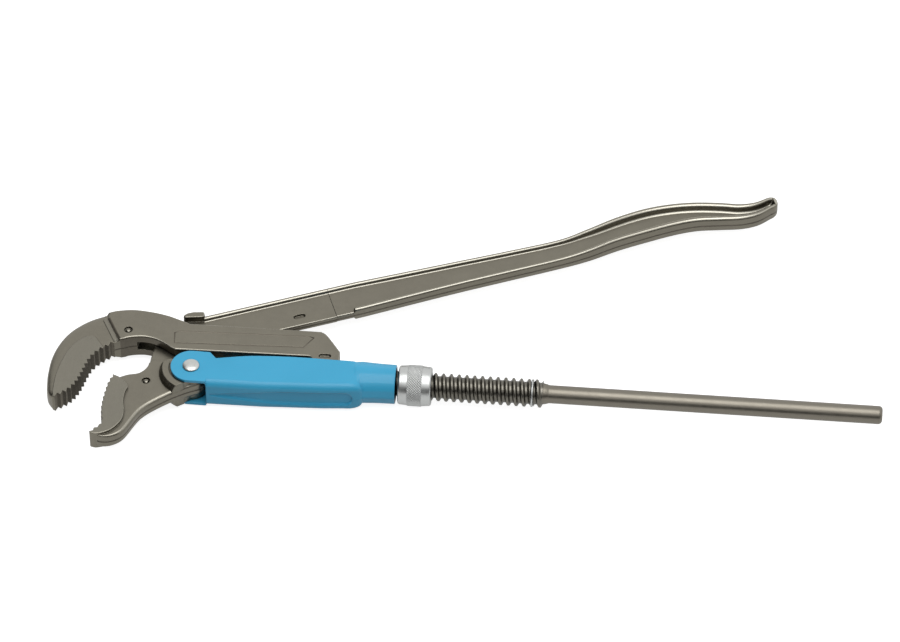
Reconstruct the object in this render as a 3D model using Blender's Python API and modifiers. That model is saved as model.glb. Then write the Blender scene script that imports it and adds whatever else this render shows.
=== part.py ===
"""Swedish-pattern pipe wrench with S-shaped jaws, two-inch size.

The wrench lies flat. X runs along the threaded spindle towards its plain round handle, Y runs
across towards the lever's handle, and Z is the thickness. The origin is on the pivot rivet's axis,
in the flat of the rivet's tail, so the tool lies on Z = 0. Sizes below are in millimetres.
"""

import math

import bmesh
import bpy

MM = 0.001

# Running and seating clearances
SIDE_CLEARANCE = 0.25
SLOT_CLEARANCE = 0.45
SEAT_GAP = 0.3
THREAD_CLEARANCE = 0.35

# Fixed leg: the hooked upper jaw, two cheeks and the bridge that carries the spindle
LEG_THICKNESS = 19.0
NOSE_THICKNESS = 14.6
SLOT_WIDTH = 7.5
SLOT_START = -39.5
SLOT_WALL = 4.1
LEG_TOP = 35.0
LEG_BOTTOM = 11.2
LEG_END = 97.6
BRIDGE_LENGTH = 18.6
BRIDGE_HALF_DEPTH = 9.4
PANEL_DEPTH = 0.5
DIMPLE_DIAMETER = 5.6
DIMPLE_DEPTH = 1.4
SLOT_MARK_LENGTH = 8.4
SLOT_MARK_WIDTH = 3.6
MARK_DEPTH = 1.2

# Spindle: coarse thread and plain round handle
THREAD_DIAMETER = 18.8
THREAD_ROOT_DIAMETER = 14.8
THREAD_PITCH = 5.2
THREAD_END = 234.5
THREAD_FACETS = 20
ROD_DIAMETER = 12.2
ROD_END = 460.0
ROD_CHAMFER = 2.0
ROD_CONE_LENGTH = 3.2

# Stop ring
RING_WIRE = 1.6
RING_FROM_THREAD_END = 7.1
GROOVE_UNDERCUT = 0.2

# Pivot, below the spindle's axis
PIVOT_DROP = 5.5
RIVET_DIAMETER = 8.0
RIVET_HEAD_DIAMETER = 11.2
RIVET_HEAD_HEIGHT = 2.0
RIVET_TAIL_FLAT_DIAMETER = 7.2

# Housing, pressed from sheet
SHEET = 2.1
EAR_RADIUS = 13.5
TUBE_DIAMETER = 26.2
TUBE_END = 136.4
TUBE_START = 113.2
CHANNEL_START = 11.5
CHANNEL_CORNER = 5.0
EAR_FILLET = 1.1
NECK_LENGTH = 9.0
BEAD_DEPTH = 1.5
BEAD_HALF_WIDTH = 5.6
BEAD_FULL_WIDTH_AT = 60.0
BEAD_END = 108.8

# Adjusting nut
NUT_GAP = 1.8
NUT_LENGTH = 22.1
NUT_DIAMETER = 27.6
NUT_END_DIAMETER = 25.8
NUT_SHOULDER_DIAMETER = 27.0
KNURL_LENGTH = 9.2

# Lever
BLADE_THICKNESS = SLOT_WIDTH - 2 * SLOT_CLEARANCE
BLADE_TOP_SLOPE = 0.4372
JAW_PLATE_THICKNESS = 14.6
LEVER_THICKNESS = 10.8
FLANGE_THICKNESS = 10.6
GRIP_FLANGE_THICKNESS = 14.0
NUB_THICKNESS = 14.6
SHOULDER_CLEARANCE = 1.0
SHOULDER_WIDTH = 7.0
SHOULDER_HALF_HEIGHT = 10.5
SHOULDER_DRAFT = 2.4
SHOULDER_START_ANGLE = 171.0
SHOULDER_END_ANGLE = 303.4
SHOULDER_END_DISTANCE = 10.1
BOSS_RADIUS = 11.0
FLANGE_WIDTH = 4.6
GRIP_FLANGE_WIDTH = 6.2
FLANGE_CREST_OUT = 0.6
FLANGE_CREST_IN = 2.4
WELD_GAP = 0.3

# Derived sizes that several pieces share
LEG_HALF = LEG_THICKNESS / 2
HOUSING_INNER_HALF = LEG_HALF + SIDE_CLEARANCE
HOUSING_OUTER_HALF = HOUSING_INNER_HALF + SHEET
MID_HEIGHT = HOUSING_OUTER_HALF + RIVET_HEAD_HEIGHT
BRIDGE_START = LEG_END - BRIDGE_LENGTH
SPINDLE_START = LEG_END + WELD_GAP
RING_X = THREAD_END - RING_FROM_THREAD_END
NUT_START = TUBE_END + NUT_GAP
RIVET_HOLE_RADIUS = RIVET_DIAMETER / 2 + SEAT_GAP
SHOULDER_INNER = EAR_RADIUS + SHOULDER_CLEARANCE
SHOULDER_OUTER = SHOULDER_INNER + SHOULDER_WIDTH

PARTS = bpy.data.collections.new("pipe_wrench")
TOOLS = bpy.data.collections.new("pipe_wrench_construction")


def clear_scene():
    for obj in list(bpy.data.objects):
        bpy.data.objects.remove(obj, do_unlink=True)
    bpy.context.scene.collection.children.link(PARTS)
    bpy.context.scene.collection.children.link(TOOLS)


def material(name, colour, roughness, metallic):
    mat = bpy.data.materials.new(name)
    mat.use_nodes = True
    shader = mat.node_tree.nodes["Principled BSDF"]
    shader.inputs["Base Color"].default_value = (*colour, 1.0)
    shader.inputs["Roughness"].default_value = roughness
    shader.inputs["Metallic"].default_value = metallic
    return mat


# Outline helpers. Points are (x, y) pairs in millimetres.


def smooth(points, steps=4):
    """A Catmull-Rom curve through the points, its two ends included."""
    curve = []
    for i in range(len(points) - 1):
        a = points[max(i - 1, 0)]
        b, c = points[i], points[i + 1]
        d = points[min(i + 2, len(points) - 1)]
        for s in range(steps):
            t = s / steps
            curve.append(tuple(
                0.5 * (2 * b[k] + (c[k] - a[k]) * t + (2 * a[k] - 5 * b[k] + 4 * c[k] - d[k]) * t ** 2
                       + (3 * b[k] - a[k] - 3 * c[k] + d[k]) * t ** 3)
                for k in range(2)))
    curve.append(tuple(points[-1]))
    return curve


def arc(centre, radius, start, end, steps):
    """Points on a circle from the start to the end angle, in degrees."""
    angles = [math.radians(start + (end - start) * i / steps) for i in range(steps + 1)]
    return [(centre[0] + radius * math.cos(a), centre[1] + radius * math.sin(a)) for a in angles]


def stations_along(curve, count):
    """The given number of points plus one, evenly spaced along a curve."""
    lengths = [0.0]
    for a, b in zip(curve, curve[1:]):
        lengths.append(lengths[-1] + math.dist(a, b))
    points = []
    j = 0
    for i in range(count + 1):
        goal = lengths[-1] * i / count
        while j < len(curve) - 2 and lengths[j + 1] < goal:
            j += 1
        t = (goal - lengths[j]) / (lengths[j + 1] - lengths[j])
        points.append(tuple(curve[j][k] + t * (curve[j + 1][k] - curve[j][k]) for k in range(2)))
    return points


def toothed_edge(tips, count, depth, lean):
    """A saw-toothed edge through the tips' curve, with the metal on its left."""
    points = stations_along(smooth(tips, 6), count)
    edge = []
    for a, b in zip(points, points[1:]):
        length = math.dist(a, b)
        along = ((b[0] - a[0]) / length, (b[1] - a[1]) / length)
        inward = (-along[1], along[0])
        edge.append(a)
        edge.append(tuple(a[k] + along[k] * length * lean + inward[k] * depth for k in range(2)))
    edge.append(points[-1])
    return edge


# Mesh helpers


def place(obj, collection, x=0.0, y=0.0, z=MID_HEIGHT):
    obj.location = (x * MM, y * MM, z * MM)
    for old in list(obj.users_collection):
        old.objects.unlink(obj)
    collection.objects.link(obj)
    if collection is TOOLS:
        obj.hide_render = True
        obj.display_type = "WIRE"
    return obj


def mesh_object(name, bm):
    bmesh.ops.recalc_face_normals(bm, faces=bm.faces)
    mesh = bpy.data.meshes.new(name)
    bm.to_mesh(mesh)
    bm.free()
    return bpy.data.objects.new(name, mesh)


def loft(name, rings):
    """A closed body through rings of (x, y, z) points, with a face over each end."""
    bm = bmesh.new()
    loops = [[bm.verts.new([c * MM for c in point]) for point in ring] for ring in rings]
    for low, high in zip(loops, loops[1:]):
        for i in range(len(low)):
            j = (i + 1) % len(low)
            bm.faces.new((low[i], low[j], high[j], high[i]))
    bm.faces.new(loops[0])
    bm.faces.new(loops[-1])
    return mesh_object(name, bm)


def forged(name, outline, half, levels):
    """A flat forging. The outline lists (x, y, inset); levels give height and share of inset."""
    count = len(outline)
    directions = []
    for i in range(count):
        before, after = outline[i - 1], outline[(i + 1) % count]
        dx, dy = after[0] - before[0], after[1] - before[1]
        length = math.hypot(dx, dy) or 1.0
        directions.append((-dy / length, dx / length))
    heights = [(-z, k) for z, k in reversed(levels)] + [(z, k) for z, k in levels if z > 0]
    rings = []
    for z, k in heights:
        rings.append([(x + d[0] * inset * k, y + d[1] * inset * k, z * half)
                      for (x, y, inset), d in zip(outline, directions)])
    return loft(name, rings)


def prism(name, outline, low, high):
    """A flat 2D curve, filled on both sides and extruded between two heights, as a mesh."""
    curve = bpy.data.curves.new(name, "CURVE")
    curve.dimensions = "2D"
    curve.fill_mode = "BOTH"
    curve.extrude = (high - low) / 2 * MM
    spline = curve.splines.new("POLY")
    spline.points.add(len(outline) - 1)
    for point, (x, y) in zip(spline.points, outline):
        point.co = (x * MM, y * MM, 0.0, 1.0)
    spline.use_cyclic_u = True
    outline_object = bpy.data.objects.new(name, curve)
    TOOLS.objects.link(outline_object)
    bpy.context.view_layer.update()
    evaluated = outline_object.evaluated_get(bpy.context.evaluated_depsgraph_get())
    mesh = bpy.data.meshes.new_from_object(evaluated)
    bpy.data.objects.remove(outline_object)
    bm = bmesh.new()
    bm.from_mesh(mesh)
    bpy.data.meshes.remove(mesh)
    bmesh.ops.remove_doubles(bm, verts=bm.verts, dist=0.00001)
    bmesh.ops.translate(bm, verts=bm.verts, vec=(0, 0, (low + high) / 2 * MM))
    return mesh_object(name, bm)


def turned(name, profile, steps, along_x=True, start=0.0):
    """A turned piece. The profile lists (axial, radius) from its far end to its near end.

    A profile whose last point is its first makes a ring. The start angle sets where the first
    facet begins.
    """
    cos, sin = math.cos(math.radians(start)), math.sin(math.radians(start))
    closed = profile[0] == profile[-1]
    points = profile[:-1] if closed else profile
    edges = [(i, i + 1) for i in range(len(points) - 1)]
    if closed:
        edges.append((len(points) - 1, 0))
    mesh = bpy.data.meshes.new(name)
    mesh.from_pydata([(r * cos * MM, r * sin * MM, a * MM) for a, r in points], edges, [])
    obj = bpy.data.objects.new(name, mesh)
    screw = obj.modifiers.new("turn", "SCREW")
    screw.steps = screw.render_steps = steps
    screw.use_merge_vertices = True
    screw.merge_threshold = 0.00001
    screw.use_smooth_shade = True
    if along_x:
        obj.rotation_euler = (0.0, math.pi / 2, 0.0)
    return obj


def combine(obj, other, operation="DIFFERENCE"):
    step = obj.modifiers.new(other.name, "BOOLEAN")
    step.operation = operation
    step.solver = "EXACT"
    step.object = other


def finish(obj, mat, smooth_angle):
    """Settle the modifiers into the mesh, so that the edges they make are shaded by angle too."""
    bpy.context.view_layer.update()
    evaluated = obj.evaluated_get(bpy.context.evaluated_depsgraph_get())
    mesh = bpy.data.meshes.new_from_object(evaluated)
    obj.modifiers.clear()
    obj.data = mesh
    mesh.name = obj.name
    mesh.materials.clear()
    mesh.materials.append(mat)
    mesh.shade_smooth()
    mesh.set_sharp_from_angle(angle=math.radians(smooth_angle))
    return obj


def threaded_body(name, start, end, clearance=0.0):
    """A bar with the right-hand thread, flat at both ends, along X on its own axis.

    Its points lie on helices, at the corners of the thread's profile. Those past an end are moved
    to it, at the radius that the thread has there.
    """
    root = THREAD_ROOT_DIAMETER / 2 + clearance
    crest = THREAD_DIAMETER / 2 + clearance
    widening = clearance / 2 / THREAD_PITCH
    corners = [(-widening, crest), (0.26 + widening, crest),
               (0.46 + widening, root), (0.8 - widening, root), (1.0 - widening, crest)]

    def radius_at(share):
        share = (share + widening) % 1.0 - widening
        for (a, ra), (b, rb) in zip(corners, corners[1:]):
            if share <= b:
                return ra + (rb - ra) * max(share - a, 0.0) / (b - a)
        return crest

    first = math.floor(start / THREAD_PITCH) * THREAD_FACETS - THREAD_FACETS
    last = math.ceil(end / THREAD_PITCH) * THREAD_FACETS
    bm = bmesh.new()
    known = {}

    def corner(index, which):
        turn_share = index / THREAD_FACETS
        x = THREAD_PITCH * (turn_share + corners[which][0])
        clamped = min(max(x, start), end)
        radius = corners[which][1]
        if clamped != x:
            radius = radius_at(clamped / THREAD_PITCH - turn_share)
        key = (index % THREAD_FACETS, round(clamped, 6))
        if key not in known:
            angle = 2 * math.pi * (index % THREAD_FACETS) / THREAD_FACETS
            known[key] = bm.verts.new((clamped * MM, radius * math.cos(angle) * MM,
                                       radius * math.sin(angle) * MM))
        return known[key]

    for index in range(first, last):
        for which in range(4):
            quad = [corner(index, which), corner(index, which + 1),
                    corner(index + 1, which + 1), corner(index + 1, which)]
            face = list(dict.fromkeys(quad))
            if len(face) > 2:
                bm.faces.new(face)
    bmesh.ops.holes_fill(bm, edges=[e for e in bm.edges if e.is_boundary], sides=0)
    return mesh_object(name, bm)


# Outlines of the fixed leg, measured from the spindle's axis


def leg_body_outline():
    """The cheeks and the bridge, counter-clockwise, as (x, y, inset at the face)."""
    arch = smooth([(-47.5, 17.4), (-45.2, 18.6), (-40.2, 19.8), (-34.1, 20.2), (-27.3, 18.8),
                   (-20.4, 15.3), (-16.0, 12.2), (-12.8, LEG_BOTTOM - 0.6)], 2)
    hump = smooth([(-5.7, LEG_TOP), (-8.6, 36.4), (-13.7, 38.5), (-21.5, 41.3), (-31.9, 43.5),
                   (-44.3, 44.5), (-55.2, 42.8), (-61.0, 40.5)], 2)
    corner = smooth([(LEG_END - 0.3, 18.0), (LEG_END - 6.5, 27.0), (LEG_END - 11.0, 32.8),
                     (LEG_END - 14.6, LEG_TOP)], 2)
    bridge_foot = arc((BRIDGE_START - 2.5, LEG_BOTTOM - 1.6), 2.5, 90, 0, 3)
    points = [(-50.4, 16.6, 0.4)]
    points += [(x, y, 0.7) for x, y in arch]
    points += [(0.0, LEG_BOTTOM - 0.3, 0.6), (60.0, LEG_BOTTOM + 0.6, 0.6)]
    points += [(x, y, 0.6) for x, y in bridge_foot]
    points += [(BRIDGE_START, -BRIDGE_HALF_DEPTH + 2.0, 0.6), (BRIDGE_START + 2.0, -BRIDGE_HALF_DEPTH, 1.2)]
    points += [(LEG_END, -BRIDGE_HALF_DEPTH, 1.2), (LEG_END, 15.0, 0.9)]
    points += [(x, y, 1.0) for x, y in corner]
    points += [(40.0, LEG_TOP, 0.9)]
    points += [(x, y, 1.2) for x, y in hump]
    points += [(-64.6, 38.0, 3.4), (-53.8, 18.6, 3.2)]
    return points


def nose_outline():
    """The hook and its teeth, counter-clockwise, as (x, y, inset at the ground face)."""
    teeth = toothed_edge([(-87.5, -36.4), (-80.1, -31.2), (-75.0, -24.2), (-72.1, -15.9), (-70.0, -7.1),
                          (-67.2, 1.2), (-61.9, 8.3), (-51.2, 17.4)], 16, 2.3, 0.72)
    back = [(-62.9, 41.0, 3.2), (-69.5, 38.8, 7.4), (-76.3, 34.7, 10.2), (-83.9, 27.2, 11.0),
            (-89.3, 18.5, 10.0), (-93.1, 8.1, 8.4), (-94.9, -1.5, 7.0), (-95.3, -10.7, 5.4),
            (-95.0, -19.8, 4.4), (-93.2, -31.8, 3.4), (-89.2, -37.0, 1.2)]
    insets = smooth([(i, p[2]) for i, p in enumerate(back)], 2)
    curve = smooth([p[:2] for p in back], 2)
    points = [(x, y, 0.0) for x, y in teeth]
    points += [(-46.0, 22.0, 0.0), (-46.0, 37.0, 0.0)]
    points += [(x, y, inset) for (x, y), (_, inset) in zip(curve, insets)]
    return points


def upper_jaw(steel):
    body = forged("upper_jaw", leg_body_outline(), LEG_HALF,
                  [(0.0, 0.0), (NOSE_THICKNESS / LEG_THICKNESS - 0.02, 0.0), (0.93, 0.45), (1.0, 1.0)])
    place(body, PARTS, y=PIVOT_DROP)
    nose = place(forged("nose_forging", nose_outline(), NOSE_THICKNESS / 2,
                        [(0.0, 0.0), (0.5, 0.03), (0.75, 0.2), (0.9, 0.6), (0.96, 0.97), (1.0, 1.0)]),
                 TOOLS, y=PIVOT_DROP)
    combine(body, nose, "UNION")
    slot_outline = [(SLOT_START, -30.0), (BRIDGE_START - 3.0, -30.0), (BRIDGE_START - 3.0, LEG_BOTTOM - 1.0),
                    (BRIDGE_START + 5.0, LEG_BOTTOM + 3.0), (LEG_END - SLOT_WALL, LEG_TOP - 11.0),
                    (LEG_END - SLOT_WALL, LEG_TOP + 20.0), (SLOT_START, LEG_TOP + 20.0)]
    slot = place(prism("leg_slot_cutter", slot_outline, -SLOT_WIDTH / 2, SLOT_WIDTH / 2),
                 TOOLS, y=PIVOT_DROP)
    combine(body, slot)
    panel = [(-13.7, LEG_BOTTOM + 5.2), (72.4, LEG_BOTTOM + 8.4), (78.6, LEG_TOP - 6.4),
             (75.4, LEG_TOP - 5.6), (-11.5, LEG_TOP - 8.0), (-14.5, LEG_TOP - 9.5)]
    for side in (-1, 1):
        face, deep = side * LEG_HALF, side * (LEG_HALF - PANEL_DEPTH)
        cutter = prism(f"panel_cutter_{side}", panel, min(deep, face + side), max(deep, face + side))
        combine(body, place(cutter, TOOLS, y=PIVOT_DROP))
        combine(body, dimple_cutter(f"leg_dimple_cutter_{side}", -45.9, 25.6 + PIVOT_DROP, side, LEG_HALF))
        combine(body, slot_mark_cutter(f"leg_mark_cutter_{side}", LEG_END - 10.0,
                                       LEG_BOTTOM + 1.8 + PIVOT_DROP, 2.0, side, LEG_HALF))
    return finish(body, steel, 28)


def dimple_cutter(name, x, y, side, half):
    """A ring-shaped pit with a round dot left standing in it, in one face of a forging."""
    rim = DIMPLE_DIAMETER / 2
    profile = [(DIMPLE_DEPTH, 0.0), (DIMPLE_DEPTH, rim + 0.2), (0.0, rim), (-DIMPLE_DEPTH, rim * 0.8),
               (-DIMPLE_DEPTH, rim * 0.5), (-DIMPLE_DEPTH * 0.35, rim * 0.22), (-DIMPLE_DEPTH * 0.3, 0.0)]
    cutter = turned(name, profile, 16, along_x=False)
    place(cutter, TOOLS, x=x, y=y, z=MID_HEIGHT + side * half)
    if side < 0:
        cutter.rotation_euler = (math.pi, 0.0, 0.0)
    return cutter


def slot_mark_cutter(name, x, y, angle, side, half):
    """A shallow round-ended pit in one face of a forging."""
    reach = (SLOT_MARK_LENGTH - SLOT_MARK_WIDTH) / 2
    outline = arc((reach, 0.0), SLOT_MARK_WIDTH / 2, -90, 90, 6)
    outline += arc((-reach, 0.0), SLOT_MARK_WIDTH / 2, 90, 270, 6)
    levels = [(-MARK_DEPTH, 0.72), (0.0, 1.0), (MARK_DEPTH, 1.2)]
    cutter = loft(name, [[(px * k, py * k, z * side) for px, py in outline] for z, k in levels])
    place(cutter, TOOLS, x=x, y=y, z=MID_HEIGHT + side * half)
    cutter.rotation_euler = (0.0, 0.0, math.radians(angle))
    return cutter


def threaded_spindle(steel):
    spindle = place(threaded_body("threaded_spindle", SPINDLE_START, THREAD_END), PARTS, y=PIVOT_DROP)
    root, rod = THREAD_ROOT_DIAMETER / 2, ROD_DIAMETER / 2
    profile = [(ROD_END, 0.0), (ROD_END, rod - ROD_CHAMFER), (ROD_END - ROD_CHAMFER, rod),
               (THREAD_END + ROD_CONE_LENGTH, rod), (THREAD_END - 0.2, root - 0.2),
               (THREAD_END - 4.0, root - 1.5), (THREAD_END - 4.0, 0.0)]
    handle = place(turned("rod_turning", profile, 32), TOOLS, y=PIVOT_DROP)
    combine(spindle, handle, "UNION")
    half_groove = RING_WIRE / 2 + SEAT_GAP
    floor = root - GROOVE_UNDERCUT
    groove = [(RING_X + half_groove, floor), (RING_X + half_groove, THREAD_DIAMETER),
              (RING_X - half_groove, THREAD_DIAMETER), (RING_X - half_groove, floor),
              (RING_X + half_groove, floor)]
    combine(spindle, place(turned("ring_groove_cutter", groove, 32), TOOLS, y=PIVOT_DROP))
    return finish(spindle, steel, 35)


def stop_ring(zinc):
    bpy.ops.mesh.primitive_torus_add(
        major_segments=32, minor_segments=8, minor_radius=RING_WIRE / 2 * MM,
        major_radius=(THREAD_ROOT_DIAMETER / 2 + SEAT_GAP + RING_WIRE / 2) * MM,
        rotation=(0.0, math.pi / 2, 0.0))
    ring = bpy.context.object
    ring.name = "stop_ring"
    place(ring, PARTS, x=RING_X, y=PIVOT_DROP)
    return finish(ring, zinc, 60)


def adjusting_nut(zinc):
    knurl_start = (NUT_LENGTH - KNURL_LENGTH) / 2
    end_r, shoulder_r, knurl_r = NUT_END_DIAMETER / 2, NUT_SHOULDER_DIAMETER / 2, NUT_DIAMETER / 2
    bore_r = THREAD_ROOT_DIAMETER / 2 - 1.0
    half = [(0.0, bore_r), (0.0, end_r - 0.7), (0.5, end_r - 0.1), (1.0, end_r + 0.1),
            (knurl_start, shoulder_r), (knurl_start + 0.3, knurl_r)]
    profile = [(NUT_LENGTH - a, r) for a, r in half] + half[::-1] + [(NUT_LENGTH, bore_r)]
    nut = turned("adjusting_nut", profile, 48, start=2.0)
    place(nut, PARTS, x=NUT_START, y=PIVOT_DROP)
    cutter = threaded_body("nut_thread_cutter", NUT_START - 2.0, NUT_START + NUT_LENGTH + 2.0,
                           THREAD_CLEARANCE)
    combine(nut, place(cutter, TOOLS, y=PIVOT_DROP))
    return finish(nut, zinc, 35)


# Housing


def channel_floor(x):
    """How far the channel's outer floor lies below the spindle's axis, at a place along it.

    Ahead of the channel it drops away, so that the ears are flat down to their edges.
    """
    places = [(CHANNEL_START - 2.5, 28.0), (CHANNEL_START, 20.0), (48.0, 19.7), (62.0, 19.0),
              (75.0, 18.4), (88.0, 17.8), (100.0, 16.8), (TUBE_START, 15.9)]
    for (a, da), (b, db) in zip(places, places[1:]):
        if x <= b:
            return da + (db - da) * (max(x, a) - a) / (b - a)
    return places[-1][1]


def bead_share(x):
    """The pressed bead's width at a place, as a share of its full width: a wedge, then even, then round."""
    start, rounding = CHANNEL_START + 2.0, BEAD_END - BEAD_HALF_WIDTH
    if x <= start or x >= BEAD_END:
        return 0.0
    if x <= rounding:
        return min(1.0, 0.12 + 0.88 * (x - start) / (BEAD_FULL_WIDTH_AT - start))
    return math.sqrt(1.0 - ((x - rounding) / BEAD_HALF_WIDTH) ** 2)


def housing_ring(x, wall, top, radius_off=0.0):
    """One section across the housing: a U with a bead in its floor that turns into a circle."""
    half = HOUSING_OUTER_HALF - wall
    floor = -(channel_floor(x) - wall)
    corner = CHANNEL_CORNER - wall * 0.8
    share = bead_share(x)
    edge = max(BEAD_HALF_WIDTH * share, 0.3)
    rise = BEAD_DEPTH * min(1.0, share * 2.5)
    ring = [(top, half * s) for s in (1.0, 0.6, 0.25, -0.25, -0.6, -1.0)]
    side = [top * 0.55, 2.0, -4.0, (floor + corner) * 0.75 - 1.0]
    ring += [(y, -half) for y in side]
    ring += [(floor + corner - corner * math.cos(a), -half + corner - corner * math.sin(a))
             for a in [math.radians(90 - 15 * i) for i in range(7)]]
    ring += [(floor, -edge - 0.5), (floor + rise, -edge + min(1.0, edge * 0.6)),
             (floor + rise, edge - min(1.0, edge * 0.6)), (floor, edge + 0.5)]
    ring += [(floor + corner - corner * math.cos(a), half - corner + corner * math.sin(a))
             for a in [math.radians(15 * i) for i in range(7)]]
    ring += [(y, half) for y in reversed(side)]
    bulge_start = TUBE_START - NECK_LENGTH
    share = 1.0
    if x > bulge_start:
        share = math.sqrt(max(0.0, 1.0 - ((x - bulge_start) / NECK_LENGTH) ** 2))
    radius = TUBE_DIAMETER / 2 - wall - radius_off
    points = []
    for y, z in ring:
        reach = math.hypot(y, z)
        points.append((x, y * share + y / reach * radius * (1 - share),
                       z * share + z / reach * radius * (1 - share)))
    return points


def housing_side_outline():
    """The housing seen from its side: ears, notch, the channel's top edge and the tube."""
    ear = arc((0.0, -PIVOT_DROP), EAR_RADIUS, 90, 262, 16)
    ear_top = EAR_RADIUS - PIVOT_DROP
    fillet = arc((CHANNEL_START - EAR_FILLET, -EAR_RADIUS - PIVOT_DROP - EAR_FILLET), EAR_FILLET, 90, 0, 5)
    edge = smooth([(TUBE_START - 4.0, 8.0), (100.0, 7.8), (70.0, 8.1), (46.0, 7.2), (33.0, 5.8),
                   (15.8, 2.6)], 2)
    tube_mouth = [(TUBE_START + 0.6, 30.0), (TUBE_START + 0.6, 11.5), (TUBE_START - 1.0, 9.2)]
    return (ear + fillet + [(CHANNEL_START, -40.0), (TUBE_END + 5.0, -40.0), (TUBE_END + 5.0, 30.0)]
            + tube_mouth + edge + [(11.4, ear_top - 0.3)])


def housing(paint):
    bulge_start = TUBE_START - NECK_LENGTH
    neck = [bulge_start + NECK_LENGTH * s for s in (0.3, 0.55, 0.75, 0.88, 0.96, 1.0)]
    channel = [CHANNEL_START, CHANNEL_START + 2.0, 20.0, 33.0, 46.0, 60.0, 73.0, 86.0, 98.0]
    bead_end = [BEAD_END - BEAD_HALF_WIDTH * s for s in (1.0, 0.5, 0.2, 0.05)]
    places = sorted(channel + bead_end + neck)
    ear_rings = [-20.0, CHANNEL_START - 2.5]
    outer_rings = [housing_ring(x, 0.0, 14.0) for x in ear_rings + places + [TUBE_END - 0.8]]
    outer_rings.append(housing_ring(TUBE_END, 0.0, 14.0, 0.8))
    shell = place(loft("housing", outer_rings), PARTS, y=PIVOT_DROP)
    inner_rings = [housing_ring(x, SHEET, 20.0) for x in [-30.0, *ear_rings[1:]] + places + [TUBE_END + 5.0]]
    combine(shell, place(loft("housing_inside", inner_rings), TOOLS, y=PIVOT_DROP))
    sides = prism("housing_side_shape", housing_side_outline(), -HOUSING_OUTER_HALF - 5, HOUSING_OUTER_HALF + 5)
    combine(shell, place(sides, TOOLS, y=PIVOT_DROP), "INTERSECT")
    hole = turned("rivet_hole_cutter", [(30.0, 0.0), (30.0, RIVET_HOLE_RADIUS),
                                        (-30.0, RIVET_HOLE_RADIUS), (-30.0, 0.0)], 24, along_x=False)
    combine(shell, place(hole, TOOLS))
    return finish(shell, paint, 32), hole


def pivot_rivet(zinc):
    head_r, shank_r = RIVET_HEAD_DIAMETER / 2, RIVET_DIAMETER / 2
    seat = HOUSING_OUTER_HALF + SEAT_GAP
    top = HOUSING_OUTER_HALF + RIVET_HEAD_HEIGHT
    dome = RIVET_HEAD_HEIGHT - SEAT_GAP
    head = [(top - dome * (1 - math.cos(math.radians(a))), head_r * math.sin(math.radians(a)))
            for a in (0, 22, 42, 60, 75, 86)]
    profile = head + [(seat, head_r), (seat, shank_r), (-seat, shank_r), (-seat, head_r),
                      (-seat - 0.4, head_r), (-top, RIVET_TAIL_FLAT_DIAMETER / 2), (-top, 0.0)]
    rivet = place(turned("pivot_rivet", profile, 24, along_x=False), PARTS)
    return finish(rivet, zinc, 40)


# Lever. Its outlines are measured from the pivot.


def blade_bottom(x):
    """The blade's lower edge above the leg, a straight line."""
    return 45.9 + 0.4115 * (x - 55.0)


def blade_top(x):
    """The top edge of the blade's rib, a straight line."""
    return 52.2 + BLADE_TOP_SLOPE * (x - 5.0)


SEAM_TOP = (82.0, blade_top(82.0))
SEAM_BOTTOM = (91.5, blade_bottom(91.5))


def blade_outline():
    """The thin blade from the jaw body through the leg's slot to the weld, counter-clockwise."""
    hidden = smooth([(-6.0, -9.0), (7.0, -9.5), (12.2, -5.0), (14.2, 1.0), (17.5, 9.0), (23.0, 19.0),
                     (32.0, 30.5), (43.0, 40.4), (55.0, blade_bottom(55.0))], 2)
    front = smooth([(-8.0, 50.2), (-16.5, 43.0), (-23.5, 33.5), (-27.4, 22.8), (-28.9, 9.8), (-28.0, 0.0)], 2)
    return hidden + [SEAM_BOTTOM, SEAM_TOP, (2.0, blade_top(2.0) - 1.0)] + front


def jaw_body_outline():
    """The jaw's body without its toothed plate, counter-clockwise, as (x, y, inset)."""
    under = smooth([(-58.8, -58.9), (-54.0, -61.9), (-47.6, -61.6), (-41.7, -58.5), (-38.2, -54.5),
                    (-35.8, -49.6), (-33.0, -43.1), (-30.3, -37.8), (-27.8, -34.4), (-24.2, -30.6),
                    (-18.2, -25.4), (-12.4, -20.9), (-9.2, -18.7), (-4.0, -15.4), (1.0, -12.7),
                    (7.0, -9.8), (11.6, -5.0)], 2)
    upper = smooth([(-29.2, 6.5), (-30.0, 2.8), (-32.6, -1.2), (-35.8, -3.6), (-42.3, -5.4),
                    (-48.6, -8.8)], 2)
    points = [(x, y, 1.2) for x, y in under]
    points += [(13.4, 2.0, 0.3), (9.0, 8.0, 0.3), (-14.0, 9.0, 0.3), (-26.0, 8.6, 0.3)]
    points += [(x, y, 0.5) for x, y in upper]
    points += [(-47.5, -14.0, 0.0), (-49.0, -30.0, 0.0), (-48.0, -47.0, 0.0), (-56.5, -57.4, 0.0)]
    return points


def jaw_plate_outline():
    """The ground plate that carries the teeth, counter-clockwise, as (x, y, inset)."""
    teeth = toothed_edge([(-51.6, -7.9), (-53.8, -14.2), (-54.9, -22.0), (-55.6, -30.0), (-55.6, -38.0),
                          (-54.6, -46.0), (-53.4, -51.4), (-56.8, -54.9), (-60.6, -59.6)], 13, 1.3, 0.5)
    back = smooth([(-60.2, -60.6), (-55.8, -61.2), (-47.9, -57.7), (-42.4, -51.0), (-40.2, -45.0),
                   (-40.2, -38.3), (-41.4, -32.1), (-41.7, -27.0), (-41.2, -21.8), (-40.3, -17.4),
                   (-43.4, -12.7), (-47.6, -9.2)], 2)
    return [(x, y, 0.0) for x, y in teeth] + [(x, y, 0.5) for x, y in back]


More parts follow.
